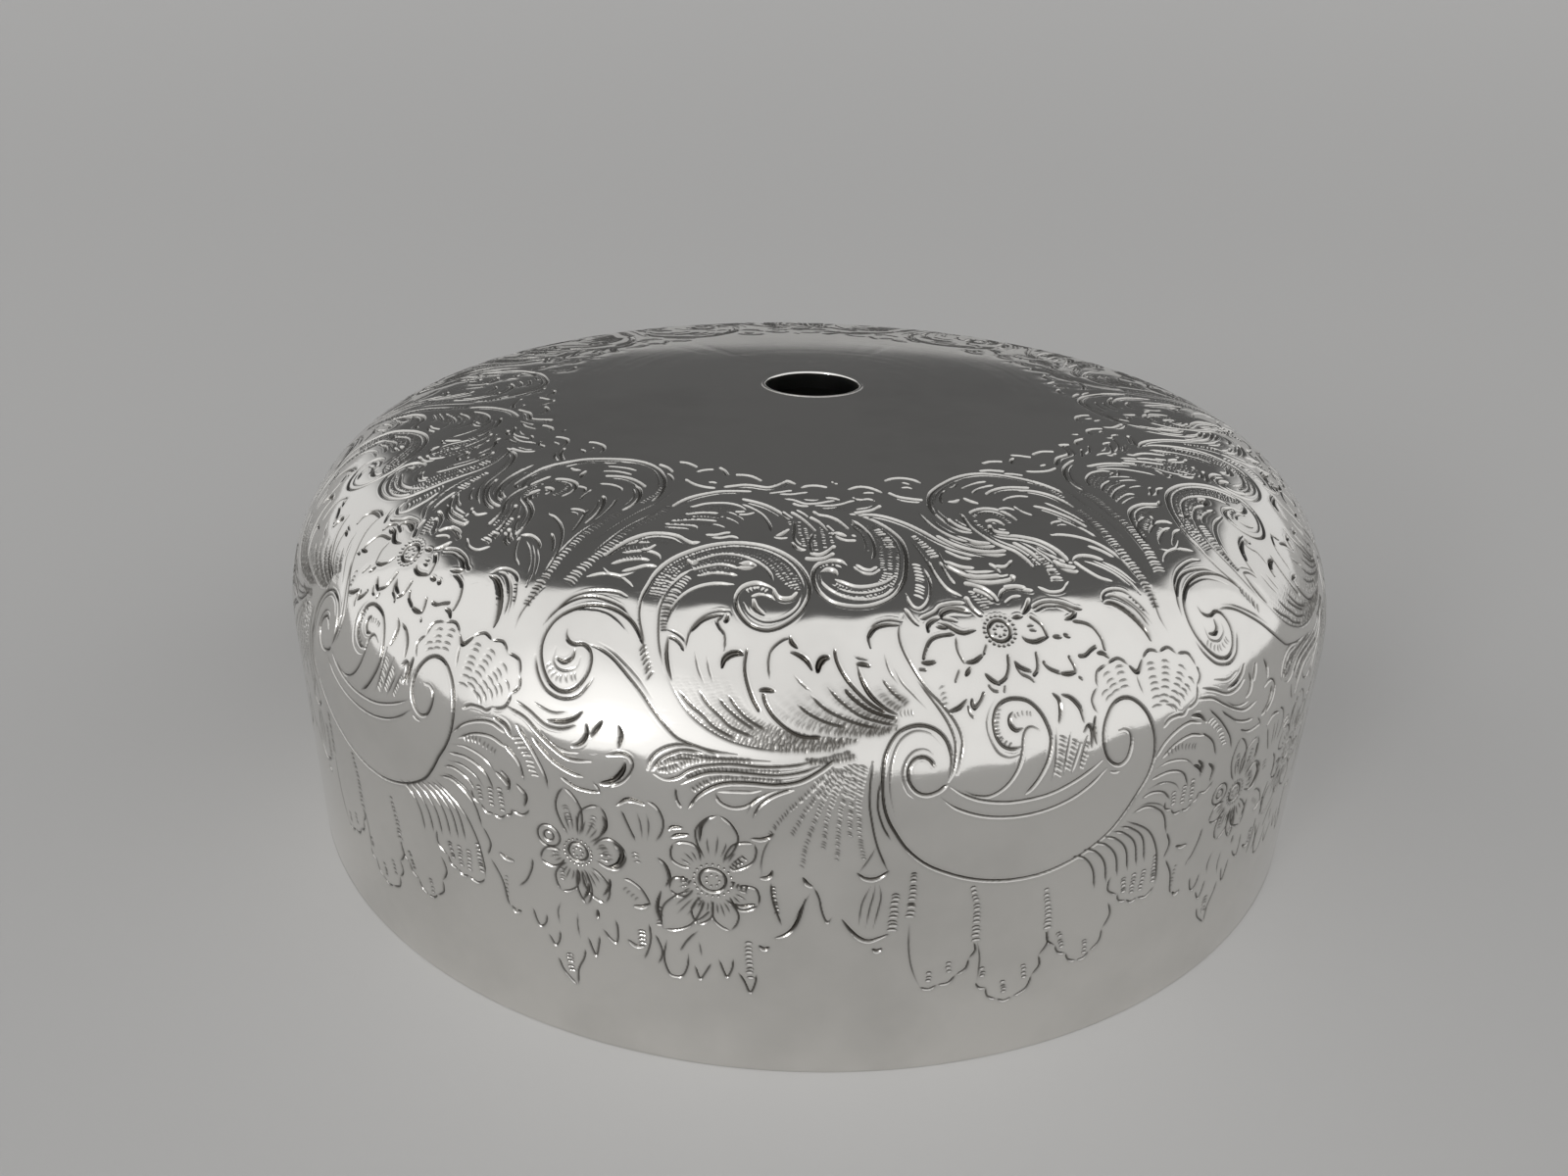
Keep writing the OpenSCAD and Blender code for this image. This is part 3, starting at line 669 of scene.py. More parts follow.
def right_flower(c):
    """A second flower with a beaded eye, and leaves hanging from it."""
    c.flower((-7.8, 42.8), 2.4, [(-7.3, 56.6, 3.7), (-4.5, 51.4, 2.3), (-4.1, 38.4, 2.8),
                                 (-6.3, 32.3, 2.3), (-9, 32.8, 1.9), (-11.9, 30.6, 3.0),
                                 (-11.3, 39.6, 2.1), (-10.9, 49.6, 2.7)])
    c.swell((-11.3, 52.2), (-10.9, 52.9), (-10.1, 53.1))
    c.swell((-11.1, 50.7), (-10.5, 51.4), (-9.6, 51.9))
    c.swell((-8.8, 50.6), (-8.7, 53.6), (-8.1, 55.6))
    c.swell((-6.4, 38.2), (-5.5, 37.8), (-4.35, 38.6))
    c.swell((-12, 39), (-12.4, 35), (-12, 31.4))
    c.ladder((-6.4, 45.4), (-5.2, 48.4), half=0.8, gap=0.8, width=LINE)
    c.ladder((-6.3, 42.6), (-5, 41.6), half=0.7, gap=0.8, width=LINE)
    c.ladder((-10.4, 42.6), (-9.6, 41.6), half=0.7, gap=0.8, width=LINE)
    c.ladder((-8.9, 40), (-8.9, 36.6), half=0.4, gap=0.8)
    c.swell((-12.2, 46), (-11.6, 44.6), (-11.3, 42), (-11.6, 40))
    c.line((-11.6, 28.4), (-11.9, 24), (-11.5, 20.7), (-10.9, 20.1), (-10.3, 20.6), (-9.9, 23),
           (-9.8, 26))
    c.line((-12.6, 29), (-12.1, 26), (-12.1, 24), (-12.4, 22.4))
    c.line((-9.2, 30.8), (-9.9, 28.8), (-10.5, 26.2))
    c.fine((-8.9, 31.6), (-9.6, 29.6), (-10, 28))
    c.line((-8, 36), (-8.6, 34.4), (-9.2, 33.2))
    c.line((-9.3, 23.4), (-8.9, 20.4), (-8.5, 21.6), (-7.9, 24.4))
    c.fine((-8.9, 29), (-8.7, 25.6))
    c.line((-7.3, 25.6), (-6.9, 22.8), (-6.6, 21.6), (-6.2, 23.6), (-6.1, 26))
    c.line((-5.7, 23), (-5.2, 21), (-4.7, 18.5), (-4.3, 20.6), (-4.2, 23))
    c.ladder((-4.9, 30.4), (-4.7, 22), half=0.8, gap=0.95, width=LINE)
    c.ladder((-12.1, 35.6), (-12.2, 31), half=0.6, gap=0.9, width=LINE)


def small_sprays(c):
    """Small leaves that fill the ground under the C."""
    c.swell((-21.8, 68), (-20.5, 68.4), (-19.5, 69.4), (-18.9, 70.8))
    c.swell((-18.4, 68.8), (-18.3, 67), (-18.7, 65.4), (-19.4, 64.6))
    c.swell((-17.1, 69.9), (-17.5, 68.4), (-17.9, 66.9))
    c.swell((-15.65, 69.6), (-15.4, 68), (-15.5, 65.8))
    c.line((-26, 68.6), (-24, 67.6), (-22.5, 65.5), (-21, 63.5), (-19.5, 62.3), (-17.6, 62.8))
    c.line((-25, 70), (-23.6, 68.9), (-22, 67.2), (-20.6, 67.1), (-19.3, 68.2))
    c.fine((-22.3, 65.9), (-21, 64.1), (-19.8, 63.6), (-18.8, 63.8))
    c.line((-23, 64.6), (-22, 62.8), (-20.8, 61), (-19.4, 59.9), (-18.2, 59.6))
    c.swell((-16.9, 59), (-15.8, 59.9), (-15.1, 61.8), (-14.85, 63.6), width=1.3)
    c.line((-16.4, 64.3), (-15.3, 65), (-14.5, 64.6), (-14.25, 63), (-14.9, 60.4), (-16.1, 58.6))
    c.line((-20.3, 58.7), (-19, 57.4), (-17.8, 57.2), (-16.8, 57.4))
    c.fine((-17.5, 59.2), (-17, 58), (-16.8, 56.8))
    c.fine((-23.4, 70.6), (-21.6, 69.6), (-20.2, 70.2))
    c.ladder((-24.6, 64), (-23.4, 61), (-22.6, 57.6), half=0.9, gap=0.9, lean=0.4)
    c.line((-24.6, 66), (-23, 62.4), (-21.8, 58.6), (-21.4, 55.6))
    c.line((-25.6, 62), (-24.2, 59.4), (-23.6, 56))
    c.swell((-24.4, 54.8), (-23.6, 53), (-23.8, 50.4))
    c.swell((-25.9, 56.6), (-25.2, 55), (-25.3, 52.6))


def big_spiral(c):
    """A broad hatched band winds up and over into an eye."""
    c.double((-16.3, 92), (-16.1, 97.5), (-15.2, 101.5), (-13.5, 105), (-11.5, 107.5), (-9.5, 108.8),
             (-7.5, 109), (-5.5, 108.3), (-3.5, 106.3), (-2, 103.5), (-1, 100), (-0.8, 97), (-1.3, 94),
             (-2.2, 91.5), (-3.5, 89.6), (-4.8, 89), (-6.2, 90), (-7.3, 92.5), (-7.6, 95), (-7.1, 97.3),
             (-6, 98.3), (-4.9, 97.9), (-4.2, 97.2))
    c.fine((-2.6, 101), (-1.7, 98.6), (-1.5, 96), (-2, 93.4), (-3.2, 91.4), (-4.7, 90.6), (-6.1, 91.8),
           (-6.9, 94))
    c.line((-13.4, 101.6), (-12, 103.3), (-10.5, 104.9), (-9, 105.3), (-7.5, 104.8), (-6.2, 103.6),
           (-5.2, 102), (-4.6, 100.2), (-4.3, 98.4))
    c.line((-12.9, 99.6), (-11.5, 101.2), (-10, 102.2), (-8.8, 102), (-8, 101.2))
    c.line((-11.9, 98.6), (-10.5, 99.8), (-9, 100), (-7.9, 99.6))
    c.swell((-7.9, 102.8), (-7.1, 103.2), (-6.5, 103))
    c.swell((-8.1, 101.7), (-7, 102), (-6.3, 102.9))
    c.swell((-13.6, 102.6), (-12.8, 101.8), (-12.1, 102.9))
    c.swell((-4.3, 97.4), (-3.9, 95.8), (-3.2, 95.2), (-2.4, 95.6), (-2, 96.8))
    c.swell((-6, 94.8), (-5.7, 93.1), (-4.9, 91.9))
    c.line((-6.2, 95.2), (-5.4, 95.9), (-4.4, 95.5), (-4, 94.6))
    c.ladder((-6.9, 96.2), (-5.8, 97.1), (-4.9, 96.7), half=0.6, gap=0.7)
    outer = [(-15.8, 93), (-15.6, 98.4), (-14.6, 102), (-13.2, 104.8), (-11.4, 107), (-9.5, 108.2),
             (-7.5, 108.4), (-5.6, 107.7), (-3.8, 105.8), (-2.4, 103.2), (-1.6, 100.4), (-1.4, 97.6)]
    inner = [(-14.2, 93), (-13.9, 97.6), (-13.2, 101.4), (-12, 103.6), (-10.5, 105.2), (-9, 105.7),
             (-7.5, 105.2), (-6.1, 104), (-5, 102.4), (-4.3, 100.4), (-3.5, 98.8), (-2.5, 97.2)]
    c.hatch(outer, inner, 4)
    c.hatch([(-13, 101.2), (-12, 102.8), (-10.5, 104.4), (-9, 104.8), (-7.6, 104.2)],
            [(-12.6, 99.8), (-11.5, 101.5), (-10, 102.6), (-8.8, 102.4), (-8, 102.2)], 2)
    c.hatch([(-12.2, 99.6), (-11.4, 100.8), (-10, 101.8), (-8.8, 101.6)], [(-11.6, 98.9), (-10.5, 100.1),
                                                                           (-9.2, 100.3), (-8.2, 100)], 1)
    c.hatch([(-13.2, 99), (-14, 95), (-14.2, 91), (-13.8, 87)], [(-12.2, 97.6), (-12.9, 94), (-13.3, 90),
                                                                 (-13.2, 87)], 1)


def upper_left_leaf(c):
    """Layered leaf on the shoulder, with a ladder stem at its left."""
    c.double((-19.5, 119.5), (-19.2, 122), (-18.5, 124.3), (-17.2, 126.5), (-15.4, 128.5), (-13.5, 129.6),
             (-11.5, 130.1), (-10, 130.2))
    c.double((-15, 130.8), (-13.5, 132), (-12, 133), (-10.5, 133.2), (-9, 132.9), (-7.8, 132.9),
             (-6.5, 134.3), (-5.3, 136.2), (-4.9, 136.6), (-4.2, 136), (-3.4, 135))
    c.line((-17.6, 120.3), (-16.8, 121), (-15.8, 122.5), (-14.4, 123.5), (-12.6, 124), (-11, 123.6),
           (-10.2, 122.8), (-9.5, 121.6))
    c.line((-11, 124.4), (-9.8, 123.8), (-8.4, 122.4), (-7.2, 120.5), (-6.3, 118), (-5.8, 116),
           (-5.5, 113.6))
    c.line((-11, 120.8), (-10.3, 121), (-9.7, 121.4))
    c.line((-10.4, 119.8), (-9.2, 120.2), (-8.3, 121.3))
    c.line((-17.2, 117.3), (-16, 118.5), (-14.5, 119.3), (-12.8, 119.4))
    c.line((-18.2, 113.8), (-17, 115), (-15.3, 116), (-13.5, 116.3), (-12.3, 116.1))
    c.line((-18.6, 112.4), (-17.4, 113), (-16, 113.4), (-14.9, 113.4), (-14.2, 112.2))
    c.fine((-17.6, 115.6), (-16.2, 116.8), (-14.6, 117.6), (-13, 117.6), (-11.4, 116.8))
    c.fine((-13.6, 118.2), (-11.8, 118), (-10.2, 116.6), (-9.4, 114.6))
    c.fine((-13, 120.6), (-11.2, 120), (-9.8, 118.4), (-9, 116.4))
    c.fine((-18.8, 111), (-17.4, 111.6), (-15.6, 111.9), (-14.4, 111.2))
    c.fine((-13.6, 115), (-12, 114.6), (-10.6, 113.4))
    c.line((-13, 110.4), (-11.8, 110.9), (-10.8, 112), (-10.1, 112.3))
    c.line((-12.6, 110.1), (-11.2, 110), (-9.9, 110.9), (-8.9, 110.3))
    c.double((-11, 126.4), (-9, 125.8), (-7, 124.5), (-5.3, 122.5), (-4.4, 121), (-3.7, 119.4))
    c.double((-22.3, 99.6), (-21.6, 103), (-20.6, 106), (-19.2, 108.3), (-17.5, 109.2), (-16, 109),
             (-14.9, 108), (-13.9, 107.3), (-13, 107.8))
    c.line((-21.9, 100), (-21.4, 103), (-20.5, 104.7), (-19.4, 105.5), (-18.2, 105.7))
    c.line((-18.9, 103.4), (-18, 104), (-17.6, 105.3))
    c.line((-20.6, 101.6), (-19.2, 102.8), (-17.9, 103.2), (-16.8, 102.6), (-16.2, 101.4))
    c.line((-20.9, 98.4), (-19.8, 99.9), (-18.4, 100.9), (-17.2, 100.8))
    c.line((-19.4, 97.2), (-18.3, 98.4), (-17.3, 99.5), (-16.2, 99.6))
    c.fine((-21.6, 97.4), (-20.4, 96.2), (-19.2, 96.4), (-18, 97.6))
    c.line((-22.6, 94.6), (-21.2, 96), (-19.6, 96.2), (-18.4, 95.2), (-17.6, 94.2))
    c.ladder((-19.9, 119.8), (-20.3, 115), (-21.5, 110), (-22.2, 104), (-23, 99), (-24, 93), half=1.2,
             gap=0.78, dense=True)
    c.fine((-20.6, 120), (-21.2, 115), (-22.2, 110), (-23, 104), (-23.8, 98))
    c.fine((-21.4, 126), (-22, 120), (-23, 114.6), (-23.8, 108), (-24.6, 102))
    c.hatch([(-17.4, 119.9), (-15.8, 121.9), (-13.4, 123.2), (-11, 123)], [(-17.2, 118), (-15.6, 119.4),
                                                                           (-13.8, 120), (-11.6, 121)], 3)
    c.hatch([(-17.2, 116.9), (-15.6, 118.3), (-13.6, 118.9), (-11.6, 118.6)],
            [(-18, 114.3), (-16, 116), (-14, 116.8), (-12, 116.8)], 2)
    c.hatch([(-18.2, 113.4), (-16.6, 114.6), (-14.6, 115.7), (-12.8, 115.6)],
            [(-18.2, 112.8), (-16.4, 113.7), (-14.6, 113.9), (-13, 113.6)], 1)
    c.hatch([(-21.8, 101), (-21.2, 104), (-19.8, 107), (-18, 108.4), (-16.2, 108.2)],
            [(-21.5, 100.6), (-20.8, 103.8), (-19.4, 105.2), (-18, 106), (-16.4, 105.8)], 2)
    c.hatch([(-20.9, 103.6), (-19.6, 104.8), (-18.4, 105.2)], [(-20.5, 101.9), (-19.2, 103.2),
                                                               (-18.2, 104.4)], 1)
    c.hatch([(-20.9, 99.2), (-19.6, 101), (-18.2, 102.4)], [(-20.6, 98.8), (-19.4, 100.2), (-18, 101.2)],
            1)


def top_border(c):
    """Single curled strokes where the ornament ends on the crown."""
    c.bold((-26.4, 139.4), (-25, 139.7), (-23.5, 139.2), (-22.3, 138.2))
    c.bold((-21.4, 136.2), (-20.8, 137.3), (-19.9, 138.1), (-19, 138.4))
    c.bold((-18.3, 139.8), (-17.3, 139.1), (-16.5, 138), (-15.7, 136.6))
    c.bold((-14.4, 137.2), (-13, 137.6), (-11.5, 137.4), (-10.3, 136.5), (-9.5, 135.5))
    c.bold((-21.8, 132), (-20.5, 131), (-19, 130.2), (-17.5, 129.9), (-16, 130))
    c.line((-17.8, 132.1), (-17.1, 132.5), (-16.4, 132.2))
    c.bold((-2.4, 133.6), (-1.6, 134.5), (-0.2, 134.9), (1, 134.6), (1.8, 134.1))
    c.line((2.7, 137.1), (3.2, 136.2), (3.8, 135.8))
    c.bold((5.3, 133.2), (6.3, 134.2), (7.5, 134.6), (8.8, 134.1), (9.8, 132.9), (10.5, 131.5))
    c.line((7.4, 131.5), (8.4, 131.8), (9.3, 131.4))
    c.bold((12.2, 136.8), (13.2, 137.8), (14.8, 138.1), (16.3, 137.6), (17.4, 136.5), (18.1, 134.8))
    c.line((14.9, 135.9), (15.7, 135.2), (16.1, 134.2))
    c.line((14, 133.3), (15.2, 133.4), (16, 132.2))
    c.bold((11.5, 131.4), (12.6, 129.6), (13.8, 128.6), (15.2, 127.7), (15.9, 127.3))
    c.line((12, 129), (13, 127.6), (14.5, 126.7), (15.4, 126.5))
    c.bold((30.8, 136.6), (32.5, 136.2), (34, 135), (34.7, 134.2))
    c.line((34, 133.6), (35.4, 132.4), (36.6, 130.6))


def top_waves(c):
    """Feathery waves between the upper leaf and the S."""
    c.line((-7.6, 129.9), (-6, 130.9), (-4.5, 131.8), (-3.7, 132))
    c.line((-6, 130.1), (-4, 130.3), (-2.5, 131), (-1.1, 131.7))
    c.double((-3.4, 126.2), (-2.4, 125.5), (-1.2, 125.4))
    c.line((-5.2, 128), (-3.5, 127.8), (-1.6, 126.5), (0.3, 126.9), (2, 127.9), (3.4, 128.5))
    c.line((1.3, 129.3), (2.6, 129.2), (3.7, 128.2))
    c.line((-1, 126), (1.5, 125.9), (3.5, 126.6), (5, 127.8), (6.2, 128.4))
    c.line((5.5, 129.8), (6.1, 128.8), (6.9, 128.6))
    c.line((6.5, 127.9), (7.4, 128.8), (8.2, 128.6), (8.7, 127.7))
    c.double((5.2, 122.9), (6.5, 123.6), (7.8, 124.2), (9.2, 125.7))
    c.fine((-2.6, 128.4), (-0.6, 128), (1, 128.6))
    c.fine((0, 124.6), (1.8, 124.8), (3.6, 125.6))


def s_scroll(c):
    """An S with a hatched back; its lower end curls round a small eye."""
    c.double((4.2, 122.2), (7, 122.3), (8.6, 121.5), (10, 120), (11.5, 117.6), (12.8, 114.5),
             (13.8, 111.5), (14.8, 109.3), (16, 107.6), (17.5, 106), (19, 104.8), (20.4, 104.4))
    c.double((5.2, 122.6), (6.6, 121), (8, 118.5), (9, 115.5), (9.6, 112), (9.6, 108), (9.2, 104),
             (8.5, 100), (7.3, 96.8), (5.5, 94.8), (3.5, 94.2), (1.5, 94.9), (0.2, 96.9), (-0.4, 99.6),
             (-0.4, 102.2), (0.2, 104.3), (1.3, 105.2), (2.4, 104.8), (3.1, 103.2))
    c.line((0.1, 100.2), (0.9, 98), (2.5, 96.2), (4.4, 95.7), (6.4, 96.7), (7.8, 99))
    c.line((1.6, 100.1), (2.4, 99.4), (3.6, 98.5), (5, 98.6), (6.6, 99.6), (7.8, 101.2))
    c.fine((1.2, 99), (2.6, 97.6), (4.4, 97.2), (6.2, 98), (7.4, 99.8))
    c.line((3.9, 103.9), (4.6, 102.8), (5.4, 102.5), (6.1, 103.4))
    c.line((3.6, 103.4), (4.6, 101.8), (5.6, 101.7), (6.5, 102.9))
    c.swell((0.2, 101.9), (0.9, 102.7), (1.6, 102.3), (1.9, 101.2))
    c.fine((-0.1, 101.6), (0.4, 103.3), (1.3, 104), (2.2, 103.4), (2.6, 102))
    c.ladder((0, 103), (0.8, 104.4), (1.8, 104.4), half=0.4, gap=0.65)
    c.line((4.2, 120.4), (5.3, 118.4), (6.1, 115.4), (6.4, 111.6), (6.2, 107.6), (5.6, 105))
    c.fine((3.6, 119.6), (4.8, 117), (5.4, 113.6), (5.4, 109.6), (4.8, 106.4))
    c.double((4.7, 119.2), (5.4, 117.4), (6.1, 115.4))
    c.ladder((7.5, 116.4), (8, 113), (8.1, 109.4), half=1.1, gap=0.8, width=LINE)
    c.hatch([(7.6, 118.6), (8.7, 115.4), (9.2, 112), (9.2, 108), (8.8, 104), (8, 100.6), (6.8, 98),
             (5.2, 96.2), (3.4, 95.6), (1.6, 96.4)], [(6, 117.4), (6.5, 114.4), (6.7, 111), (6.5, 107.4),
                                                      (6.2, 104.4), (6.6, 102.4), (6, 100), (4.8, 98.4),
                                                      (3.6, 98.2), (1.8, 99.4)], 3)
    c.hatch([(4.6, 118.6), (5.6, 116), (6, 112.4), (5.8, 108)], [(4, 118.4), (4.9, 115.6), (5.3, 112),
                                                                 (5, 107.6)], 1)


def shoulder_lobes(c):
    """Leaf lobes between the big spiral and the S, with columns of ticks down their flutes."""
    c.bold((-0.5, 123.2), (0.2, 121.9), (1.4, 121.3), (2.5, 120), (3.2, 118.2), (3.8, 116.1))
    c.bold((-0.9, 120.7), (0, 119.3), (0.6, 117.6), (1.3, 115.7))
    c.line((1.2, 117.6), (1.6, 116.4), (2, 115.2))
    c.bold((-3.5, 122.5), (-2.5, 121), (-1.6, 119), (-0.9, 117), (-0.3, 115))
    c.line((-4.7, 122.6), (-3.9, 121.2), (-3.2, 120))
    c.line((-2.9, 123.6), (-1.9, 122.2), (-1.2, 120.6))
    c.swell((2.1, 114.9), (2.7, 114.3), (3.4, 113.4))
    c.bold((1.8, 115), (2.1, 113.6), (2.7, 112.4), (3.4, 111.7), (4.4, 111.6))
    c.line((4.1, 113.8), (4.5, 113.2))
    c.line((-5.1, 111.9), (-4.2, 111.6), (-3.4, 112.1))
    c.swell((-4.8, 112.4), (-4, 113.8), (-3.4, 115.5))
    c.line((-2.9, 119.4), (-2.8, 116), (-2.8, 113), (-2.5, 111.2), (-1.8, 109.8), (-0.9, 109.2))
    c.swell((-2.9, 110.6), (-2.5, 109), (-1.9, 108.1), (-1.3, 108))
    c.bold((-0.8, 107), (0.2, 106.8), (1, 107.7), (1.9, 109.6))
    c.bold((-1.3, 105.3), (-0.3, 105.4), (0.8, 106), (1.7, 107.2))
    c.line((-0.4, 114.6), (-0.9, 112), (-0.8, 109.6), (-0.6, 107.4))
    columns = (((-2.3, 119), (-2.1, 114.6), (-1.5, 110.4)), ((-1.6, 116.4), (-1.1, 112.6), (-0.9, 110)),
               ((-0.4, 114), (-0.3, 111), (-0.1, 107.8)), ((0.5, 117), (0.7, 112.4), (0.8, 108.4)),
               ((1.5, 115), (1.6, 112.4), (1.7, 110.4)), ((-3.9, 120), (-3.4, 117.4)))
    for column in columns:
        c.ladder(*column, half=0.5, gap=0.75)
    c.line((4.4, 117.4), (4.8, 116.1), (5.2, 115))
    c.hatch([(-0.4, 125), (1.6, 125), (4, 125.4)], [(0.4, 123.8), (2, 123.8), (4, 124)], 2)


def bundle(c):
    """Long parallel strokes that sweep down from the S to the right."""
    c.line((13.9, 122.4), (14.3, 118.6), (15.1, 114.6), (16.2, 111.6), (17.8, 109.2))
    c.double((14.1, 119.4), (14.7, 115.6), (15.6, 112.6), (16.8, 110), (18.2, 108.1), (19.9, 107.2))
    c.swell((17.3, 110.2), (18.3, 109), (19.7, 108.4))
    c.double((14.1, 112.8), (15.2, 109.9), (16.5, 107.8), (18, 106.4), (19.5, 105.7), (20.8, 105.6))
    c.double((16.3, 125.6), (16, 122), (16.4, 118.4), (17, 115.2), (17.6, 113.5), (18.7, 112.6))
    c.double((17.2, 118.8), (17.7, 116.2), (18.8, 113.4))
    c.fine((16.9, 121), (17, 117.6), (17.7, 115), (18.5, 113.8))
    c.fine((15.2, 121), (15.4, 117.4), (16.2, 114), (17.4, 111.6))
    c.line((13.9, 107.4), (15.2, 105.1), (16.4, 104.2))
    c.line((14, 108.8), (15.6, 106.3), (17, 105))
    c.line((13.4, 104.2), (14.8, 102.5), (16.1, 101.8))
    c.double((13.2, 103.3), (14.3, 101.3), (15.5, 99.9), (17, 99.5), (18.5, 99.4))
    c.double((14.2, 101.2), (15.2, 99.3), (16.6, 98.2), (18, 98), (19.5, 98.3), (19.5, 99.2))
    c.line((17.9, 102.6), (18.4, 101.3), (18.5, 99.8))
    c.line((18.4, 101.8), (19.5, 101.4), (20.6, 102.7))
    c.ladder((11.3, 113.2), (12, 109.4), (12.5, 105.6), half=(0.5, 1.0), gap=0.8, width=LINE)
    c.fine((10.6, 113), (11, 109), (11.4, 104.6), (11.6, 100))
    c.fine((13.2, 109), (13.2, 105), (13.8, 101.4))
    c.line((11.6, 105), (11.8, 101), (12.4, 97.6), (13.6, 95.6))
    c.line((12.8, 104.4), (13, 100.6), (13.4, 98))
    c.ladder((10.2, 104), (10, 99.4), (9.4, 95.4), half=0.9, gap=0.85, lean=0.3)
    c.line((10.8, 103), (11, 99), (10.4, 95.4), (9.4, 93.6), (8.6, 94.4), (8.3, 97))
    c.line((8, 93.6), (8.4, 91.8), (8.9, 90.4))


def upper_scroll(c):
    """A scroll on the shoulder: a wide C over a volute whose tail runs down to the daisy."""
    c.double((16.3, 121.5), (16.3, 124.5), (17, 127.5), (18.2, 130.3), (20, 132.4), (22, 134),
             (24.5, 135.5), (27, 136.1), (29.5, 135.8), (31.8, 134.6), (33.8, 132.5), (35.5, 129.6),
             (36.7, 126), (37.2, 122.5), (37.1, 120))
    c.double((20.7, 119.8), (21.6, 120.8), (22.8, 121.3), (24, 120.9), (25, 119.7), (25.6, 117.5),
             (25.6, 114.6))
    c.line((25, 120), (26, 120.1), (26.6, 119.7), (27.2, 118.5))
    c.double((21.7, 115.8), (22.3, 116.4), (23, 116), (23.3, 115), (23.3, 113.8))
    c.double((21.6, 114.6), (21.5, 113), (21.9, 111.8), (22.9, 110.7))
    c.double((21.3, 114.2), (21.3, 112), (21.7, 110.8), (22.6, 110), (23.8, 109), (25.3, 107),
             (26.2, 104.3), (26.6, 101.5), (26.5, 99.8))
    c.double((19.5, 120.4), (19.2, 116), (19.4, 112.5), (20, 109), (20.8, 106.8), (21.7, 105),
             (22.2, 102.5), (22.4, 99.8))
    c.double((22.3, 107.6), (23.1, 105), (23.7, 102), (24, 99.8))
    c.fine((22.6, 108.6), (23.8, 105.6), (24.6, 102), (24.9, 98.4))
    c.fine((23.4, 108.6), (24.6, 105.8), (25.4, 102.8))
    c.line((24.4, 105.2), (25.2, 102.5), (25.9, 101.2))
    c.double((25.1, 101), (25.7, 99.7), (26.8, 98.4))
    c.double((25.2, 100), (25.8, 98.4), (26.8, 97.4))
    c.line((21.6, 95.7), (22.6, 94.3), (24, 94.2), (25.1, 95.8))
    c.ladder((24.1, 104), (24.2, 99.6), (23.9, 95.8), half=(0.5, 0.9, 1.3), gap=0.72, width=LINE)
    c.ladder((22.8, 104), (23.1, 100.6), half=0.5, gap=0.75)
    c.ladder((20.4, 117.2), (20.4, 114), (21, 111), half=0.6, gap=0.75)
    c.ladder((20.6, 118.4), (22, 119.6), (23.6, 119.2), (24.5, 117), (24.3, 114), half=0.6, gap=0.75)
    c.line((18.3, 125), (18.8, 127.5), (19.8, 129.8), (21.1, 130.7))
    c.swell((19.4, 125.6), (20.3, 125.3), (21.4, 125.9))
    c.line((21.9, 131.5), (23, 132), (24.1, 133.1))
    c.swell((22.2, 126.4), (22.6, 124.8), (23.4, 123.3))
    c.line((24, 134), (25.5, 134.4), (27.2, 134.5))
    c.line((23.4, 130.3), (25.5, 131.4), (27.5, 131.9), (29.3, 131.6))
    c.line((24.2, 127.7), (26, 129.3), (28, 129.8), (29.5, 129.6))
    c.double((26.1, 126.4), (28, 127.8), (30, 128), (32, 127.2), (33.9, 125.7))
    c.line((27.2, 122.8), (28.8, 123.7), (30.4, 123.5), (31.7, 122.3))
    c.double((31.6, 125.7), (33, 125), (34.3, 123), (35.1, 120.5), (35.3, 117.5), (35, 114.8))
    c.line((27.6, 120.2), (27.8, 117.5), (28.4, 115.2))
    c.fine((16.9, 124), (17.4, 127), (18.6, 129.8))
    c.ladder((36.2, 127), (36.4, 123), (36, 118.6), half=0.6, gap=0.9)


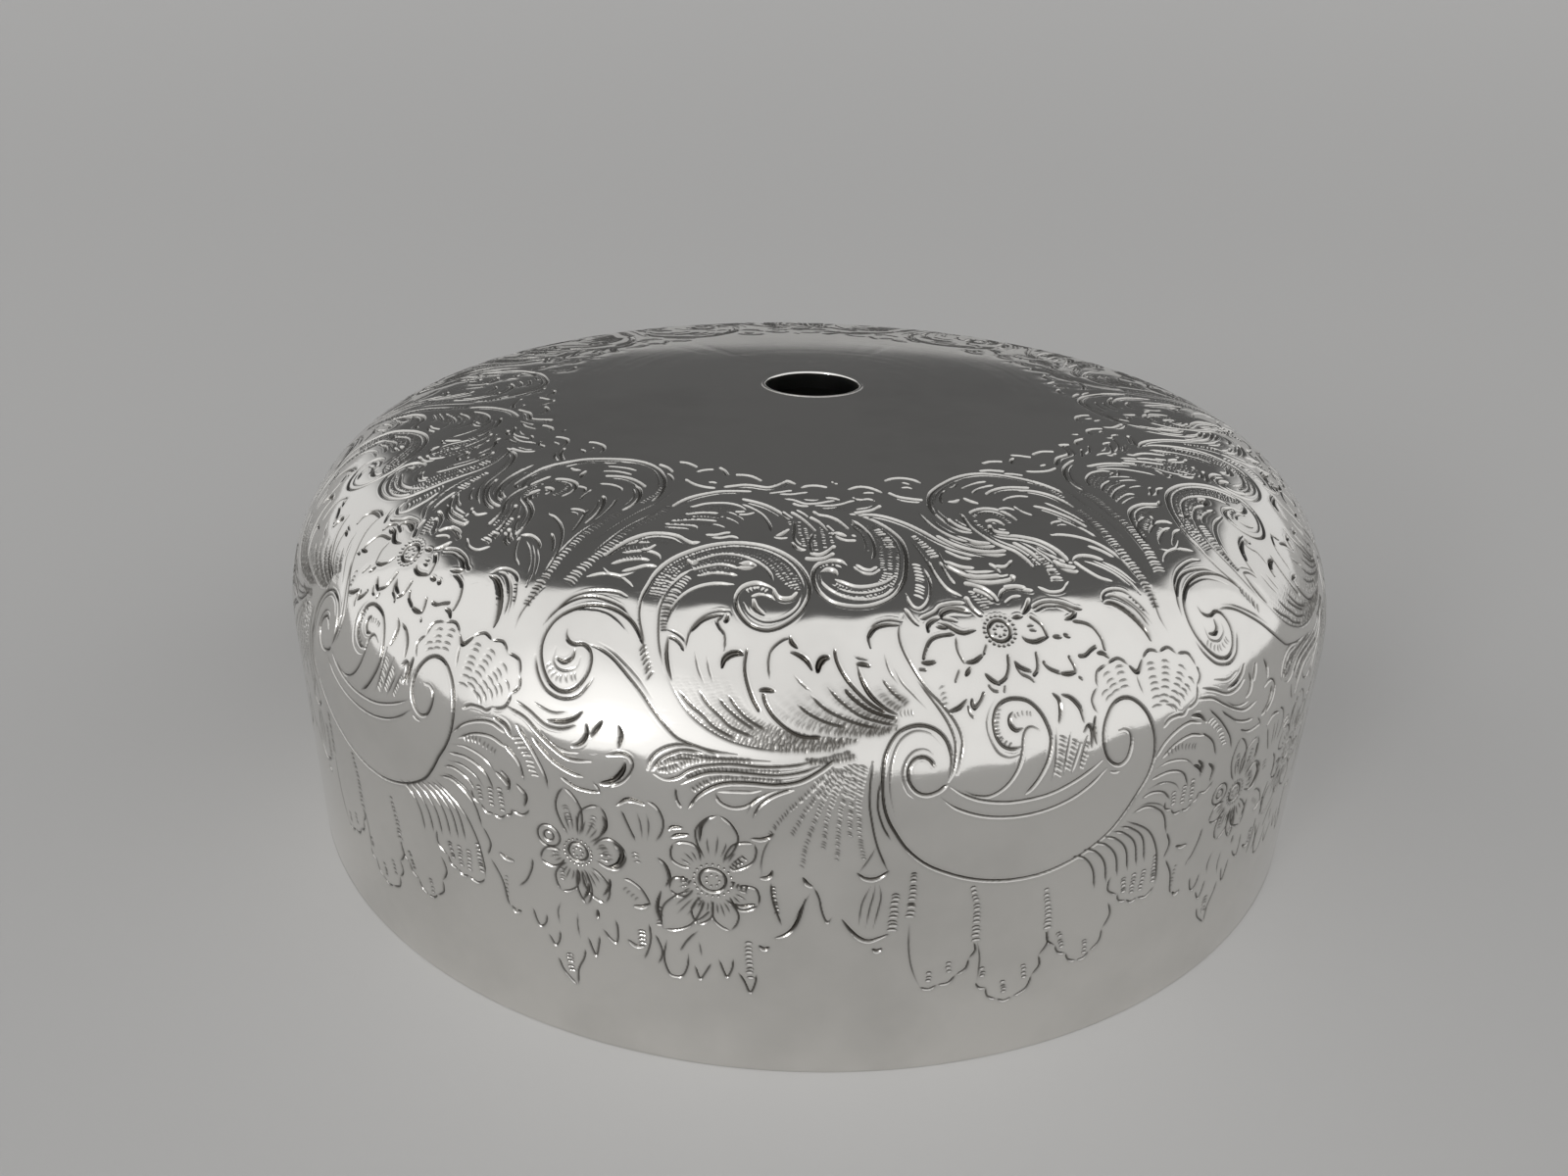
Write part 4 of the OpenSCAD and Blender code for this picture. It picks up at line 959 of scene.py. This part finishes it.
def right_stem(c):
    """Leaves on a ladder stem, between the scroll and the next C."""
    c.line((27.2, 108.5), (27.5, 107.7), (28.5, 107.4), (30, 106), (31.3, 103.8), (32.2, 101),
           (32.8, 97.6), (33, 93))
    c.double((30.2, 118.7), (31.2, 117.2), (32, 114.8), (32.6, 111.5), (32.8, 107.6))
    c.line((30.9, 113.4), (31.4, 110.5), (32, 107.5), (32.4, 104))
    c.line((29, 111), (29.8, 111.7), (30.8, 111.6), (31.4, 110.6))
    c.line((32.3, 119.4), (32.9, 116.6), (33.3, 112.8), (33.4, 108.6))
    c.fine((29.3, 110), (30.2, 110.4), (31, 109.4))
    c.line((30.3, 102.8), (31.3, 101), (32.1, 98.6))
    c.line((27.2, 100.3), (28.3, 100.9), (29.6, 100.2), (30.6, 98.6))
    c.line((27.2, 100.2), (27.6, 98.2), (28.6, 95.4), (29.8, 93.8))
    c.fine((28.2, 99.6), (29.4, 98), (30.6, 95.4), (31.4, 92))
    c.fine((29.2, 99.4), (30.6, 96.6), (31.6, 93.4), (32, 90))
    c.fine((30.2, 98.6), (31.4, 95.8), (32.2, 92.2))
    c.ladder((35, 113.6), (34.4, 108.4), (33.9, 103.6), (33.5, 98), (33.3, 92.6), (32.9, 87),
             half=(1.5, 1.0, 0.7), gap=0.8, dense=True)
    c.fine((34.4, 112), (33.4, 106), (33, 100), (32.8, 94))
    c.swell((27.6, 90.2), (28.4, 89.9), (29.3, 88.4), (30.1, 86), (30.6, 83.4), (30.7, 81.2), width=1.4)
    c.line((27.5, 90.6), (28.1, 92), (29.1, 92.4), (30.2, 91.8), (30.9, 90.4))
    c.line((28, 91.4), (29, 91.2), (30, 89.6), (30.8, 87), (31.2, 84))
    c.fine((29.4, 91.4), (30.4, 89.4), (31.2, 86.6), (31.6, 84))
    c.fine((30.6, 91), (31.3, 88.4), (31.8, 85.6))
    c.ladder((30.7, 90.6), (31.4, 87), half=0.4, gap=0.8, lean=0.4)
    c.fine((33.8, 91), (33.2, 88.4), (32.8, 85), (32.9, 82))


MOTIFS = [cartouche, comma_scroll, daisy, shells, c_scroll, long_leaf, wave_leaf, drooping_leaf,
          bowl_shells, feather_fans, left_flower, right_flower, small_sprays, big_spiral, upper_left_leaf,
          top_border, top_waves, s_scroll, shoulder_lobes, bundle, upper_scroll, right_stem]

# Rings of the dome's skin: the columns of the finest ones, how far apart the rows of each stretch lie,
# and the heights at which one stretch passes into the next
FINE_COLUMNS = 4000
WALL_ROW, SHOULDER_ROW, CROWN_ROW, PLAIN_ROW = 0.19, 0.16, 0.15, 1.0
PLAIN_LOW_S, BAND_S, NARROW_S = 12.0, 56.0, 128.0
# How far the relief is softened: the marks themselves, the metal pulled down beside them and the swell
# between them. Then the shares of the last two, and how strongly both show on the inner face
MARK_SOFT, SIDE_SOFT, SWELL_SOFT = 0.06, 0.45, 1.6
SIDE_SHARE, SWELL_SHARE, INNER_SHARE = 0.4, 1.4, 1.5
# The finish below and above these heights, where the wall passes into the crown: the depth of a mark at
# which its darkening starts, how much of it lies in marks as tarnish with painted shade, beside them as
# painted shade and between close ticks as tarnish with painted shade, and how dull close ticks and other
# marks are. The wall gets more painted shade than the crown, so that its marks read dark
WALL_CROWN_S = (90.5, 96.5)
MARK_DARKENING_START, MARK_TARNISH_AND_SHADE, SIDE_PAINTED_SHADE = (0.06, 0.3), (0.88, 0.5), (0.24, 0.1)
TICK_TARNISH_AND_SHADE, TICK_SATIN, MARK_SATIN = (0.55, 0.05), (1.0, 0.45), (0.0, 0.4)
MARK_DEPTH_RISE, TICK_SOFT = 0.35, 0.25
# How the repeats drift, as waves round the dome and their size, in degrees and in millimetres
DRIFT_DEG = ((2, 0.12), (5, 0.08))
DRIFT_S = ((3, 0.25), (7, 0.15))
# Slight waves in the sheet: their number, their shortest and longest length, and their height
DENTS, DENT_LENGTH, DENT_HEIGHT = 14, (35, 90), 0.007
# The bake's map: how many parts of the turn lie side by side, and the margin at the sides of each
UV_TILES, UV_MARGIN = 4, 0.01

# Silver where bright and where tarnished or painted with shade: for the dome, the ferrule, the inner
# pieces
CHASED = (0.79, 0.775, 0.745, 1), (0.075, 0.068, 0.058, 1)
FERRULE = (0.85, 0.84, 0.81, 1), (0.5, 0.47, 0.43, 1)
INNER = (0.66, 0.64, 0.60, 1), (0.34, 0.31, 0.27, 1)
CHASED_GLOSS, FERRULE_GLOSS, INNER_GLOSS = 0.07, 0.1, 0.26
# Polish lines are stretched round the axis and scratches along a slant; clouds and grain are even
POLISH_STRETCH = (12, 12, 900)
SCRATCH_TURN, SCRATCH_STRETCH = (0.5, 0.9, 0.7), (60, 1500, 1500)
CLOUD_SCALE, GRAIN_SCALE = 28.0, 2600.0
# How strongly clouds tarnish the silver, and how much darker the dome's inner face is made
CLOUD_TARNISH, INSIDE_DARKENING = 0.16, 0.35
POLISH_ROUGH, TARNISH_AND_SHADE_ROUGH, SCRATCH_ROUGH, SATIN_ROUGH = 0.06, 0.1, 0.06, 0.28
POLISH_BUMP, SCRATCH_BUMP, GRAIN_BUMP = 0.6, -0.5, 0.35
BUMP_HEIGHT = 0.000006

# The floor, in metres: where it starts to rise behind the dome, how far it reaches and how fast it rises
FLOOR_FLAT, FLOOR_REACH, FLOOR_RISE = 1.0, 9.0, 0.02
FLOOR_GREY = (0.58, 0.575, 0.567, 1)
# Brightness of the room's front, of its sides low down, of its back, and of the glow round the lamp
FRONT, SIDES, BACK, GLOW = 0.9, 0.75, 0.11, 0.35
# The camera's place in millimetres, its tilt and roll in degrees, and its lens
CAMERA_AT = (-5.87, -288.5, 173.8)
LOOK_DOWN, ROLL = 24.74, 1.34
SENSOR, LENS = 36, 27


def softened(raster, reach):
    """One repeat's raster blurred over a reach in millimetres, joined round at its sides."""
    up = np.fft.fftfreq(ROWS, S_STEP)[:, None]
    across = np.fft.rfftfreq(COLS, DEG_STEP * degree_length(0))
    keep = np.exp(-2 * (np.pi * reach) ** 2 * (up ** 2 + across ** 2))
    return np.fft.irfft2(np.fft.rfft2(raster) * keep, raster.shape)


def by_height(ends):
    """Values down one repeat's rows, which pass from the wall's to the crown's."""
    return np.interp(LOW_S + S_STEP * np.arange(ROWS), WALL_CROWN_S, ends)[:, None]


def chased_relief():
    """Depths of a repeat's outer and inner face; on the outer one, tarnish with painted shade, and satin.
    """
    chaser = Chaser()
    for motif in MOTIFS:
        motif(chaser)
    sharp = chaser.groove - chaser.lip * (1 - chaser.groove / DEPTH)
    swell = SIDE_SHARE * softened(chaser.groove, SIDE_SOFT)
    swell = swell + SWELL_SHARE * softened(chaser.groove, SWELL_SOFT)
    outer = softened(sharp, MARK_SOFT) + swell
    return outer, INNER_SHARE * swell, marks_tarnish_and_shade(chaser), marks_satin(chaser)


def marks_tarnish_and_shade(chaser):
    """Tarnish with painted shade in one repeat's marks and between ticks, and painted shade beside them.
    """
    # Tarnish in the marks, with painted shade that is heavier on the wall
    deep = softened(chaser.groove, MARK_SOFT) / DEPTH - by_height(MARK_DARKENING_START)
    deep = by_height(MARK_TARNISH_AND_SHADE) * np.clip(deep / MARK_DEPTH_RISE, 0, 1)
    # Painted shade beside the marks, which makes the forms between them look raised
    beside = np.clip(softened(chaser.groove, SIDE_SOFT) / DEPTH / MARK_DEPTH_RISE, 0, 1)
    beside = by_height(SIDE_PAINTED_SHADE) * beside
    # Tarnish with painted shade between close ticks
    ticked = by_height(TICK_TARNISH_AND_SHADE) * softened(chaser.ticked, TICK_SOFT)
    return 1 - (1 - deep) * (1 - beside) * (1 - ticked)


def marks_satin(chaser):
    """How dull one repeat's marks and close ticks are."""
    ticks = softened(chaser.ticked, TICK_SOFT) * by_height(TICK_SATIN)
    marks = by_height(MARK_SATIN) * np.clip(chaser.groove / DEPTH / MARK_DEPTH_RISE, 0, 1)
    return np.maximum(ticks, marks)


def sampled(raster, deg, s):
    """Value of a repeat's raster at places on the dome."""
    col = (deg - FIRST_DEG) % SECTOR / DEG_STEP
    row = np.clip((s - LOW_S) / S_STEP, 0, ROWS - 1.001)
    c, r = col.astype(int), row.astype(int)
    u, v = col - c, row - r
    left, right = c % COLS, (c + 1) % COLS
    low = raster[r, left] * (1 - u) + raster[r, right] * u
    high = raster[r + 1, left] * (1 - u) + raster[r + 1, right] * u
    return low * (1 - v) + high * v


def hand_drift(deg, s):
    """Places shifted a little, differently in each repeat, as on work laid out by hand."""
    a = np.radians(deg)
    for waves, size in DRIFT_DEG:
        deg = deg + size * np.sin(waves * a)
    for waves, size in DRIFT_S:
        s = s + size * np.sin(waves * a)
    return deg, s


def dents(points):
    """Slight waves in the sheet, from working and handling it."""
    draw = np.random.default_rng(8)
    total = np.zeros(len(points))
    for _ in range(DENTS):
        way = draw.normal(size=3)
        way *= 2 * np.pi / draw.uniform(*DENT_LENGTH) / np.linalg.norm(way)
        total += DENT_HEIGHT * np.sin(points @ way + draw.uniform(0, 6))
    return total


def spaced(start, end, step):
    """Values from start towards end, at most a step apart, without the end."""
    return np.linspace(start, end, math.ceil(abs(end - start) / step), endpoint=False)


def ring_list():
    """Rings as (s, inset, columns): down the outside from the crown's edge, round the foot, up inside."""
    half, quarter = FINE_COLUMNS // 2, FINE_COLUMNS // 4
    outside = ((SEAM_S - EDGE_ROUND, HIGH_S, PLAIN_ROW, quarter), (HIGH_S, NARROW_S, CROWN_ROW, half),
               (NARROW_S, SHOULDER_S, CROWN_ROW, FINE_COLUMNS),
               (SHOULDER_S, BAND_S, SHOULDER_ROW, FINE_COLUMNS),
               (BAND_S, PLAIN_LOW_S, WALL_ROW, FINE_COLUMNS))
    rings = [(SEAM_S, EDGE_ROUND, quarter)]
    for start, end, step, columns in outside:
        rings += [(s, 0, columns) for s in spaced(start, end, step)]
    rings += [(PLAIN_LOW_S, 0, half)]
    rings += [(s, 0, quarter) for s in spaced(PLAIN_LOW_S - PLAIN_ROW, EDGE_ROUND, PLAIN_ROW)]
    corner = EDGE_ROUND * (1 - math.sqrt(0.5))
    rings += [(EDGE_ROUND, 0, quarter), (corner, corner, quarter), (0, EDGE_ROUND, quarter)]
    rings += [(0, SHEET - EDGE_ROUND, quarter), (corner, SHEET - corner, quarter)]
    rings += [(s, SHEET, quarter) for s in spaced(EDGE_ROUND, SEAM_S - EDGE_ROUND, PLAIN_ROW)]
    rings += [(SEAM_S - EDGE_ROUND, SHEET, quarter), (SEAM_S, SHEET - EDGE_ROUND, quarter)]
    return rings


def ring_points(rings):
    """Vertices of all rings, and by name the values that the finish reads at each of them."""
    outer, inner, tarnish_and_shade, satin = chased_relief()
    points = []
    values = {"tarnish_and_shade": [], "satin": [], "inside": []}
    for s, inset, columns in rings:
        deg = np.arange(columns) * 360 / columns
        at = hand_drift(deg, np.full(columns, float(s)))
        inside = inset >= SHEET / 2
        r, z, tilt = section(s)
        a = np.radians(deg)
        level, up = np.cos(tilt), np.full(columns, np.sin(tilt))
        out = np.stack([level * np.sin(a), -level * np.cos(a), up], -1)
        skin = np.stack([r * np.sin(a), -r * np.cos(a), np.full(columns, z)], -1)
        deep = inset + sampled(inner if inside else outer, *at) + dents(skin)
        points.append(skin - deep[:, None] * out)
        # Tarnish with painted shade in and beside the marks
        values["tarnish_and_shade"].append(np.zeros(columns) if inside else sampled(tarnish_and_shade, *at))
        values["satin"].append(np.zeros(columns) if inside else sampled(satin, *at))
        values["inside"].append(np.full(columns, float(inside)))
    return np.concatenate(points), values


def ring_faces(rings):
    """For each two neighbouring rings, the faces' vertex numbers, shares of the turn and ring numbers."""
    first = np.concatenate([[0], np.cumsum([columns for _, _, columns in rings])])
    for upper in range(len(rings)):
        lower = (upper + 1) % len(rings)
        n, m = rings[upper][2], rings[lower][2]
        j = np.arange(min(n, m))
        if n == m:
            corners = [(upper, n, j), (lower, m, j), (lower, m, j + 1), (upper, n, j + 1)]
        elif n < m:
            corners = [(upper, n, j), (lower, m, 2 * j), (lower, m, 2 * j + 1), (lower, m, 2 * j + 2),
                       (upper, n, j + 1)]
        else:
            corners = [(upper, n, 2 * j), (lower, m, j), (lower, m, j + 1), (upper, n, 2 * j + 2),
                       (upper, n, 2 * j + 1)]
        verts = np.stack([first[ring] + k % count for ring, count, k in corners], -1)
        turns = np.stack([k / count for _, count, k in corners], -1)
        steps = np.array([upper if ring == upper else upper + 1 for ring, _, _ in corners])
        yield verts, turns, np.broadcast_to(steps, verts.shape)


def chart(turns, steps, rings):
    """Places on the bake's map: parts of the turn side by side, rings from top to bottom by length."""
    pairs = zip(rings, rings[1:] + rings[:1])
    length = np.array([max(abs(a[0] - b[0]), abs(a[1] - b[1])) for a, b in pairs])
    run = np.concatenate([[0], np.cumsum(length)])
    tile = np.minimum(turns.mean(-1, keepdims=True) * UV_TILES, UV_TILES - 1e-6).astype(int)
    u = (tile + UV_MARGIN + (1 - 2 * UV_MARGIN) * (turns * UV_TILES - tile)) / UV_TILES
    return np.stack([u, 1 - run[steps] / run[-1]], -1)


def chased_dome():
    """The whole dome as one closed skin."""
    rings = ring_list()
    points, values = ring_points(rings)
    loops, places, sizes = [], [], []
    for verts, turns, steps in ring_faces(rings):
        loops.append(verts.ravel())
        places.append(chart(turns, steps, rings).ravel())
        sizes.append(np.full(len(verts), verts.shape[1]))
    sizes = np.concatenate(sizes)
    mesh = bpy.data.meshes.new("chased_dome")
    mesh.vertices.add(len(points))
    mesh.vertices.foreach_set("co", (points * MM).astype(np.float32).ravel())
    mesh.loops.add(int(sizes.sum()))
    mesh.loops.foreach_set("vertex_index", np.concatenate(loops).astype(np.int32))
    mesh.polygons.add(len(sizes))
    mesh.polygons.foreach_set("loop_start", (np.cumsum(sizes) - sizes).astype(np.int32))
    uv_map = mesh.uv_layers.new(name="OFBake")
    uv_map.data.foreach_set("uv", np.concatenate(places).astype(np.float32))
    for name, runs in values.items():
        attribute = mesh.attributes.new(name, "FLOAT", "POINT")
        attribute.data.foreach_set("value", np.concatenate(runs).astype(np.float32))
    mesh.update(calc_edges=True)
    mesh.shade_smooth()
    dome = bpy.data.objects.new("chased_dome", mesh)
    bpy.context.scene.collection.objects.link(dome)
    return dome


class Shader:
    """A material's or the world's node tree, built up node by node."""

    def __init__(self, owner):
        owner.use_nodes = True
        self.tree = owner.node_tree

    def add(self, kind, *inputs, **settings):
        """A node; its first sockets take the inputs, each a value or another node's output."""
        node = self.tree.nodes.new("ShaderNode" + kind)
        for key, value in settings.items():
            setattr(node, key, value)
        for socket, value in zip(node.inputs, inputs):
            self.put(socket, value)
        return node

    def put(self, socket, value):
        """Links an output to a socket, or sets the socket's own value."""
        if isinstance(value, bpy.types.NodeSocket):
            self.tree.links.new(value, socket)
        else:
            socket.default_value = value

    def math(self, operation, *inputs):
        return self.add("Math", *inputs, operation=operation).outputs[0]

    def span(self, value, low, high, to_low, to_high, curve="LINEAR"):
        """A value carried from one range to another, and kept within it."""
        node = self.add("MapRange", value, low, high, to_low, to_high, interpolation_type=curve)
        return node.outputs[0]

    def noise(self, vector, scale, detail, rough):
        node = self.add("TexNoise")
        settings = {"Vector": vector, "Scale": scale, "Detail": detail, "Roughness": rough}
        for name, value in settings.items():
            self.put(node.inputs[name], value)
        return node.outputs["Factor"] if "Factor" in node.outputs else node.outputs["Fac"]

    def blend(self, share, colour_a, colour_b):
        node = self.add("Mix", data_type="RGBA")
        self.put(node.inputs["Factor"], share)
        self.put(node.inputs["A"], colour_a)
        self.put(node.inputs["B"], colour_b)
        return next(o for o in node.outputs if o.type == "RGBA")

    def attribute(self, name):
        return self.add("Attribute", attribute_name=name).outputs["Fac"]


def silver(name, bright, dull, gloss, grooved):
    """Plated silver: polish lines round the axis, scratches, grain, tarnish, and painted shade where
    grooved.
    """
    material = bpy.data.materials.new(name)
    m = Shader(material)
    surface = m.tree.nodes["Principled BSDF"]
    place = m.add("TexCoord").outputs["Object"]
    x, y, z = m.add("SeparateXYZ", place).outputs
    out = m.math("SQRT", m.math("ADD", m.math("MULTIPLY", x, x), m.math("MULTIPLY", y, y)))
    stretched = zip((x, y, m.math("SUBTRACT", z, out)), POLISH_STRETCH)
    around = m.add("CombineXYZ", *(m.math("MULTIPLY", way, scale) for way, scale in stretched)).outputs[0]
    polish = m.noise(around, 1.0, 4.0, 0.6)
    cloud = m.noise(place, CLOUD_SCALE, 4.0, 0.6)
    slant = m.add("Mapping", place)
    slant.inputs["Rotation"].default_value = SCRATCH_TURN
    slant.inputs["Scale"].default_value = SCRATCH_STRETCH
    scratch = m.span(m.noise(slant.outputs[0], 1.0, 2.0, 0.5), 0.66, 0.74, 0.0, 1.0)
    grain = m.noise(place, GRAIN_SCALE, 2.0, 0.5)
    tarnish_and_shade = m.span(cloud, 0.45, 0.75, 0.0, CLOUD_TARNISH)
    if grooved:
        # Tarnish with painted shade in and beside the marks, from the dome's attribute
        tarnish_and_shade = m.math("ADD", tarnish_and_shade, m.attribute("tarnish_and_shade"))
        # The dome's inner face is made darker
        tarnish_and_shade = m.math("MULTIPLY_ADD", m.attribute("inside"), INSIDE_DARKENING, tarnish_and_shade)
    m.put(surface.inputs["Base Color"], m.blend(tarnish_and_shade, bright, dull))
    rough = m.span(polish, 0.3, 0.75, gloss, gloss + POLISH_ROUGH)
    rough = m.math("MULTIPLY_ADD", tarnish_and_shade, TARNISH_AND_SHADE_ROUGH, rough)
    rough = m.math("MULTIPLY_ADD", scratch, SCRATCH_ROUGH, rough)
    if grooved:
        rough = m.math("MULTIPLY_ADD", m.attribute("satin"), SATIN_ROUGH, rough)
    m.put(surface.inputs["Roughness"], rough)
    m.put(surface.inputs["Metallic"], 1.0)
    height = m.math("MULTIPLY", polish, POLISH_BUMP)
    height = m.math("MULTIPLY_ADD", scratch, SCRATCH_BUMP, height)
    height = m.math("MULTIPLY_ADD", grain, GRAIN_BUMP, height)
    bump = m.add("Bump")
    m.put(bump.inputs["Distance"], BUMP_HEIGHT)
    m.put(bump.inputs["Height"], height)
    m.put(surface.inputs["Normal"], bump.outputs[0])
    return material


def plain_floor():
    """A pale matt floor, which rises gently far behind so that it fills the view."""
    depths = [-FLOOR_REACH] + list(np.linspace(FLOOR_FLAT, FLOOR_REACH, 24))
    rows = [(y, FLOOR_RISE * max(y - FLOOR_FLAT, 0) ** 2) for y in depths]
    points = [(x, y, z) for y, z in rows for x in (-FLOOR_REACH, FLOOR_REACH)]
    faces = [(2 * k, 2 * k + 1, 2 * k + 3, 2 * k + 2) for k in range(len(rows) - 1)]
    mesh = bpy.data.meshes.new("floor")
    mesh.from_pydata(points, [], faces)
    mesh.shade_smooth()
    floor = bpy.data.objects.new("floor", mesh)
    bpy.context.scene.collection.objects.link(floor)
    material = bpy.data.materials.new("floor")
    material.use_nodes = True
    surface = material.node_tree.nodes["Principled BSDF"]
    surface.inputs["Base Color"].default_value = FLOOR_GREY
    surface.inputs["Roughness"].default_value = 0.9
    surface.inputs["Specular IOR Level"].default_value = 0.1
    mesh.materials.append(material)


def soft_lamp(name, azimuth, elevation, distance, size, radiance):
    """A square lamp that faces the dome, as bright as given over its surface. Gives the way to it."""
    data = bpy.data.lights.new(name, "AREA")
    data.size = size
    data.energy = radiance * size ** 2 * math.pi
    lamp = bpy.data.objects.new(name, data)
    turn = Matrix.Rotation(math.radians(azimuth), 4, "Z")
    turn = turn @ Matrix.Rotation(math.radians(90 - elevation), 4, "X")
    centre = (cad_box[0] + cad_box[1]) / 2
    lamp.matrix_world = Matrix.Translation(centre) @ turn @ Matrix.Translation((0, 0, distance))
    bpy.context.scene.collection.objects.link(lamp)
    return turn @ Vector((0, 0, 1))


def studio_light():
    """A room with a bright front, a dim back and sides that are pale low down, and a lamp with a glow."""
    lamp_way = soft_lamp("low", azimuth=-38, elevation=14, distance=9.0, size=1.55, radiance=14.0)
    world = bpy.data.worlds.new("room")
    bpy.context.scene.world = world
    m = Shader(world)
    way = m.add("TexCoord").outputs["Generated"]
    x, y, z = m.add("SeparateXYZ", way).outputs
    behind = m.math("MULTIPLY_ADD", m.math("MULTIPLY", x, x), -0.55, y)
    front = m.span(behind, -0.02, -0.12, 0.0, FRONT, "SMOOTHSTEP")
    # The dim part of the back grows wider with height, and closes over the top
    dim = m.math("MULTIPLY_ADD", z, 0.8, 0.35)
    dim = m.math("MULTIPLY_ADD", y, dim, m.span(z, 0.4, 0.9, 0.0, 0.9))
    aside = m.math("SUBTRACT", m.math("ABSOLUTE", x), dim)
    sides = m.span(aside, 0.0, 0.3, BACK, SIDES, "SMOOTHSTEP")
    near = m.add("VectorMath", way, lamp_way, operation="DOT_PRODUCT").outputs["Value"]
    glow = m.span(near, 0.8, 1.0, 0.0, GLOW, "SMOOTHSTEP")
    light = m.math("ADD", m.math("MAXIMUM", front, sides), glow)
    m.put(m.tree.nodes["Background"].inputs["Color"], light)


def photo_camera():
    """Camera a little above the object's height, looking down at it from close by."""
    data = bpy.data.cameras.new("camera")
    data.sensor_width = SENSOR
    data.lens = LENS
    data.clip_start = 0.01
    camera = bpy.data.objects.new("camera", data)
    look = Matrix.Rotation(math.radians(90 - LOOK_DOWN), 4, "X")
    look = look @ Matrix.Rotation(math.radians(ROLL), 4, "Z")
    camera.matrix_world = Matrix.Translation(Vector(CAMERA_AT) * MM) @ look
    bpy.context.scene.collection.objects.link(camera)
    bpy.context.scene.camera = camera


def coat(piece, material):
    """Gives a piece a material, in place of any it had."""
    piece.data.materials.clear()
    piece.data.materials.append(material)


def dress():
    """Puts the chased dome in the shell's place and gives every piece its finish."""
    dome = chased_dome()
    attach(dome, "root")
    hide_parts("dome_shell")
    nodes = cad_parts
    chased = silver("chased", *CHASED, CHASED_GLOSS, grooved=True)
    ferrule = silver("ferrule", *FERRULE, FERRULE_GLOSS, grooved=False)
    inner = silver("inner", *INNER, INNER_GLOSS, grooved=False)
    coat(dome, chased)
    coat(nodes["crown_ferrule"], ferrule)
    coat(nodes["backing_ring"], inner)
    coat(nodes["rim_band"], inner)


dress()
plain_floor()
studio_light()
photo_camera()
bpy.context.scene.view_settings.view_transform = "Standard"
